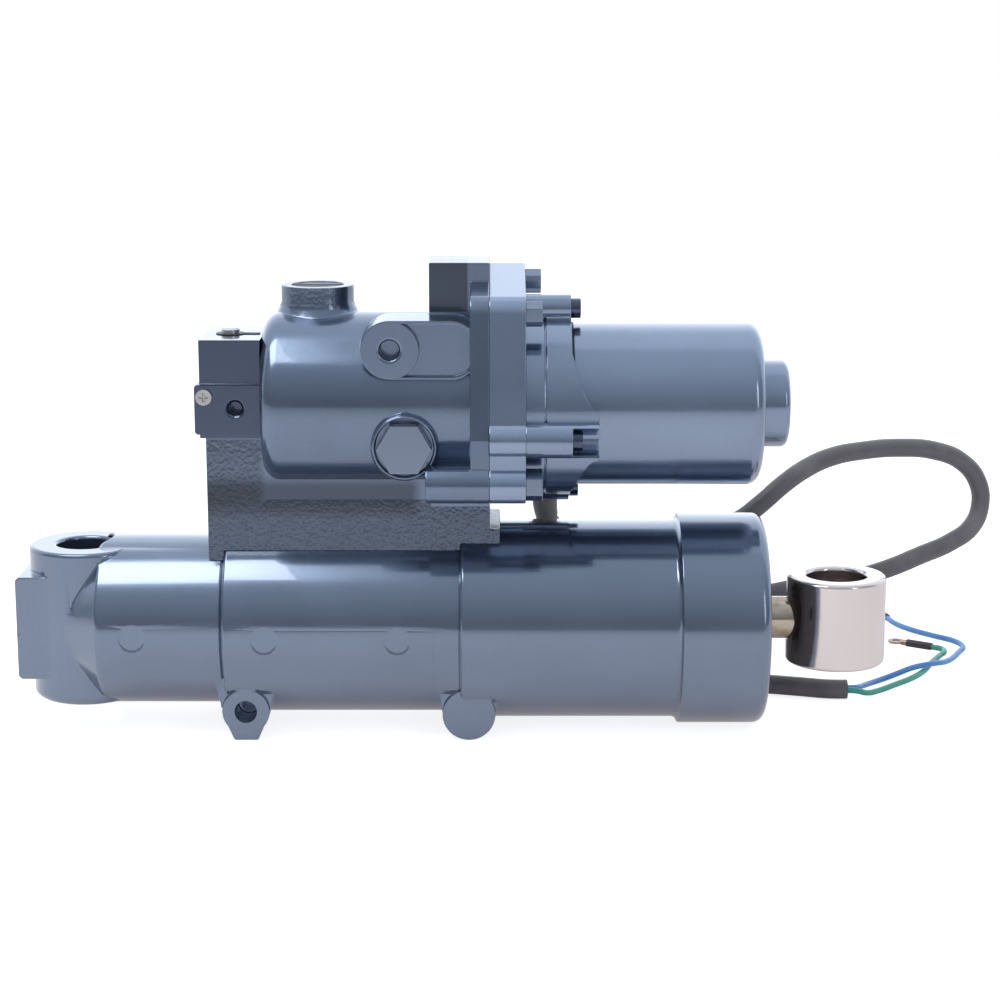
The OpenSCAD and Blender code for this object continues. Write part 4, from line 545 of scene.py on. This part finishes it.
# The rod's chrome is brown-gold with brown patches: painted reflection, the golden-brown highlights
# on the rod.
chrome_with_reflection = bare_metal("hard_chrome_with_reflection", (0.50, 0.435, 0.36), stain=(0.30, 0.19, 0.11), amount=0.6,
                    rough=0.08, depth=0.000004, pitch=2500.0)
nickel = bare_metal("plated_steel", (0.76, 0.70, 0.685), stain=(0.66, 0.59, 0.57), amount=0.02,
                    rough=0.17, depth=0.000004, pitch=2600.0, stretch=(0.02, 0.02, 1))
fettled("gland_head", "cylinder_gland", black_oxide, edge=0.0004)
fettled("rod_bar", "ram_rod", chrome_with_reflection, edge=0.0004)
fettled("rod_eye", "ram_eye", nickel, edge=0.0006)


# Inside the cylinder: the piston with its ring, nut and shock valves, the free piston
# with its ring, and the gland's seals.
steel, steel_stain = (0.56, 0.57, 0.58), (0.35, 0.32, 0.29)
bright_steel = bare_metal("bright_steel", steel, stain=steel_stain, amount=0.3, rough=0.26,
                          depth=0.00001)
upright_steel = bare_metal("upright_steel", steel, stain=steel_stain, amount=0.3, rough=0.26,
                           depth=0.00001, stretch=(0.03, 0.03, 1))
cross_steel = bare_metal("cross_steel", steel, stain=steel_stain, amount=0.3, rough=0.26,
                         depth=0.00001, stretch=(0.03, 1, 0.03))
seal_rubber = moulded("seal_rubber", (0.018, 0.018, 0.019), dust=(0.05, 0.05, 0.052), amount=0.4,
                      rough=0.45, pits=0.00003)
brass = bare_metal("brass", (0.66, 0.45, 0.17), stain=(0.34, 0.22, 0.09), amount=0.35, rough=0.25,
                   depth=0.00001)
dress(bright_steel, "piston", "piston_nut", "free_piston")
dress(seal_rubber, "gland_oring", "rod_seal", "rod_wiper", "piston_ring", "free_piston_ring",
      "flange_oring", "motor_oring", "shaft_seal")
dress(brass, "shock_valves")


# Pump housing: the second aluminium casting. Its pump body, neck, front pad, plug boss,
# ledge, crown and flange are smooth; the bracket under it keeps the rough sand skin.
# The housing's paint has painted shade: a painted shadow on the web and a painted dark reflection
# on the crown.
fettled("housing_casting", "pump_housing", rough_paint_with_shade, edge=0.0006)
# The adapter plate wears the lightest copy of the paint, a painted reflection.
fettled("adapter_casting", "adapter_plate", lit_plate_paint, edge=0.0003)


# Plugs of the pump housing: the 22 mm hex plug on its washer, painted over with the
# housing, and the filler plug sunk in the neck.
fettled("hex_plug_head", "hex_plug", paint, edge=0.0005)
fettled("filler_cap", "filler_plug", black_oxide, edge=0.0004)
copper = bare_metal("copper", (0.68, 0.31, 0.18), stain=(0.35, 0.15, 0.09), amount=0.4,
                    rough=0.28, depth=0.00001)
dress(copper, "plug_washer")


# Valve block: a painted aluminium block with its cross-headed screw, and the head of
# the manual valve under its circlip on top.
# A darker copy of the slate paint, for the valve block and the motor screws: painted shade.
shaded_paint = slate_paint("shaded_slate_paint", colour=(0.045, 0.068, 0.125), clear=0.8)
fettled("valve_block_casting", "valve_block", shaded_paint, edge=0.0004)
fettled("block_screw_heads", "block_screws", cross_steel, edge=0.0002)
fettled("manual_valve_head", "manual_valve", upright_steel, edge=0.0003)
dress(black_oxide, "valve_circlip")


# Inside the valve block: the shuttle piston between two spring-loaded check valves, the
# cap that closes its bore, and the relief valve.
dress(cross_steel, "shuttle_piston", "check_cap", "relief_valve")
dress(brass, "front_check_valve", "rear_check_valve")
for node, joint, outward in (("front_check_spring", "front_check_slide", -1),
                             ("rear_check_spring", "rear_check_slide", 1)):
    # A coil stands on its outer end; each is a copy of its CAD spring in black oxide, on the
    # spring's own body.
    coil_mesh = frame["nodes"][node].data.copy()
    coil_mesh.materials.clear()
    coil_mesh.materials.append(black_oxide)
    coil = bpy.data.objects.new(node + "_coil", coil_mesh)
    scene.collection.objects.link(coil)
    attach(coil, frame["nodes"][node]["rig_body"])
    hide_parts(node)
    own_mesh(coil)


# Gear pump: the case and its cover, two meshed gears, the idle gear's pin, the long
# screws and the filter sleeve round them.
gauze = bare_metal("filter_gauze", (0.60, 0.43, 0.20), stain=(0.25, 0.17, 0.08), amount=0.6,
                   rough=0.45, depth=0.0001, pitch=1800.0, stretch=(1, 1, 1))
dress(bright_steel, "gear_case", "pump_cover", "drive_gear", "driven_gear")
dress(black_oxide, "gear_pin", "pump_screws", "drive_coupling")
dress(gauze, "suction_filter")


# Motor: the die-cast base and the drawn steel can, both painted, with their screws, and
# the bolts that hold the motor on the flange of the pump housing.
# The base and can wear the lighter copy of the paint, which is painted light; the screws wear the
# darker copy, which is painted shade.
fettled("motor_base_casting", "motor_base", lit_paint, edge=0.00035)
fettled("motor_can_shell", "motor_can", lit_paint, edge=0.0006)
fettled("flange_bolt_heads", "flange_bolts", paint, edge=0.0003)
fettled("motor_screw_heads", "motor_screws", shaded_paint, edge=0.0003)


# Inside the motor: shaft, laminated core, windings, commutator, magnets, bearings and
# the brush plate with its carbon brushes and springs.
lamination = bare_metal("lamination_stack", (0.26, 0.26, 0.28), stain=(0.14, 0.12, 0.11),
                        amount=0.4, rough=0.45, depth=0.0001, pitch=1400.0,
                        stretch=(1, 0.01, 0.01))
magnet = moulded("ferrite", (0.035, 0.034, 0.036), dust=(0.08, 0.075, 0.07), amount=0.4,
                 rough=0.62, pits=0.00008)
phenolic = moulded("phenolic", (0.16, 0.085, 0.040), dust=(0.26, 0.16, 0.09), amount=0.5,
                   rough=0.5, pits=0.00005, fine=1600.0, stretch=(0.2, 1, 1))
carbon = moulded("carbon", (0.022, 0.021, 0.022), dust=(0.06, 0.058, 0.06), amount=0.5,
                 rough=0.48, pits=0.00005)
wire = bare_metal("enamelled_wire", (0.60, 0.24, 0.10), stain=(0.30, 0.10, 0.04), amount=0.5,
                  rough=0.25, depth=0.0004, pitch=1100.0, stretch=(1, 0.2, 0.2))
dress(bright_steel, "armature_shaft", "motor_bearings", "brush_springs")
dress(lamination, "armature_core")
dress(wire, "armature_windings")
dress(copper, "commutator")
dress(magnet, "magnets")
dress(phenolic, "brush_holder")
dress(carbon, "brushes")


# Floor and backdrop: a white table that keeps the unit's shadow, in a white room whose
# front, behind the camera, is dimmer.
table_z = -0.0497


def white_sight(tree):
    """The kinds of rays, and 1 where the camera sees the backdrop: straight, in a gloss or
    through glass"""
    rays = fit(tree, "LightPath").outputs
    gloss = reckon(tree, "MAXIMUM", rays["Is Camera Ray"], rays["Is Glossy Ray"])
    return rays, reckon(tree, "MAXIMUM", gloss, rays["Is Transmission Ray"])


table_white, table_tree, table_shader = finish("table_white", Roughness=0.9, Specular_IOR_Level=0.1)
table_speck = fit(table_tree, "TexNoise", {"Scale": 400.0, "Detail": 2.0})
table_tone = fade(table_tree, table_speck.outputs[0], 0.0, 1.0, 0.80, 0.84)
table_tree.links.new(table_tone, table_shader.inputs["Base Color"])

# The table glows where it is seen, and more so straight, so that it is white round the
# shadow.
table_rays, table_seen = white_sight(table_tree)
table_straight = reckon(table_tree, "MULTIPLY", table_rays["Is Camera Ray"], 0.55)
table_soft = reckon(table_tree, "MULTIPLY", table_seen, 0.25)
table_glow = reckon(table_tree, "ADD", table_soft, table_straight)
table_tint = fit(table_tree, "Mix", {0: table_rays["Is Camera Ray"], 6: (1.16, 1.0, 0.95, 1),
                                     7: (1, 1, 1, 1)}, data_type="RGBA")
table_tree.links.new(table_tint.outputs[2], table_shader.inputs["Emission Color"])
table_tree.links.new(table_glow, table_shader.inputs["Emission Strength"])
table_form = bmesh.new()
bmesh.ops.create_grid(table_form, x_segments=2, y_segments=2, size=4.0,
                      matrix=Matrix.Translation((0.2, 0.0, table_z)))
table_mesh = bpy.data.meshes.new("table")
table_form.to_mesh(table_mesh)
table_form.free()
table_mesh.materials.append(table_white)
table = bpy.data.objects.new("table", table_mesh)
scene.collection.objects.link(table)

# The room is white when seen straight, and lights the unit at a little over half of that.
# In a gloss it is dim in front, lighter overhead, white behind and brightest far behind.
room = bpy.data.worlds.new("room")
room.use_nodes = True
scene.world = room
room_tree = room.node_tree
room_light = room_tree.nodes["Background"]
room_rays, room_seen = white_sight(room_tree)
room_place = fit(room_tree, "TexCoord").outputs["Generated"]
room_way = fit(room_tree, "SeparateXYZ", {0: room_place}).outputs
room_up = fade(room_tree, room_way["Z"], 0.0, 1.0, 0.24, 0.74)
room_back = fade(room_tree, room_way["Y"], -0.05, 0.45)
room_gloss = fit(room_tree, "Math", {0: room_up, 1: room_back}, operation="ADD", use_clamp=True)
room_far = fade(room_tree, room_way["Y"], 0.6, 0.95, 0.0, 0.5)
room_shine = reckon(room_tree, "ADD", room_gloss.outputs[0], room_far)
room_straight = fit(room_tree, "Mix", {0: room_rays["Is Camera Ray"], 2: room_shine, 3: 1.0})
room_level = fit(room_tree, "Mix", {0: room_seen, 2: 0.55, 3: room_straight.outputs[0]})
room_tint = fit(room_tree, "Mix", {0: room_rays["Is Camera Ray"], 6: (0.93, 1.0, 1.10, 1),
                                   7: (1, 1, 1, 1)}, data_type="RGBA")
room_tree.links.new(room_tint.outputs[2], room_light.inputs["Color"])
room_tree.links.new(room_level.outputs[0], room_light.inputs["Strength"])


# Lamps: a soft box overhead at the left, which makes the hard-edged band on the barrel,
# and a tall strip at the right front.
def soft_box(name, place, aim, wide, deep, radiance):
    """A rectangular lamp of that size in metres, turned to its aim"""
    lamp = bpy.data.lights.new(name, "AREA")
    lamp.shape = "RECTANGLE"
    lamp.size, lamp.size_y = wide, deep
    lamp.energy = radiance * pi * wide * deep
    box = bpy.data.objects.new(name, lamp)
    box.location = place
    box.rotation_euler = (Vector(place) - Vector(aim)).to_track_quat("Z", "Y").to_euler()
    box.visible_camera = False
    scene.collection.objects.link(box)


soft_box("left_box", place=(-0.24, -0.23, 0.86), aim=(-0.24, -0.23, 0.0), wide=0.52, deep=0.54,
         radiance=4.2)
soft_box("front_strip", place=(1.1, -1.0, 0.5), aim=(0.3, 0.0, 0.0), wide=0.16, deep=0.7,
         radiance=3.0)
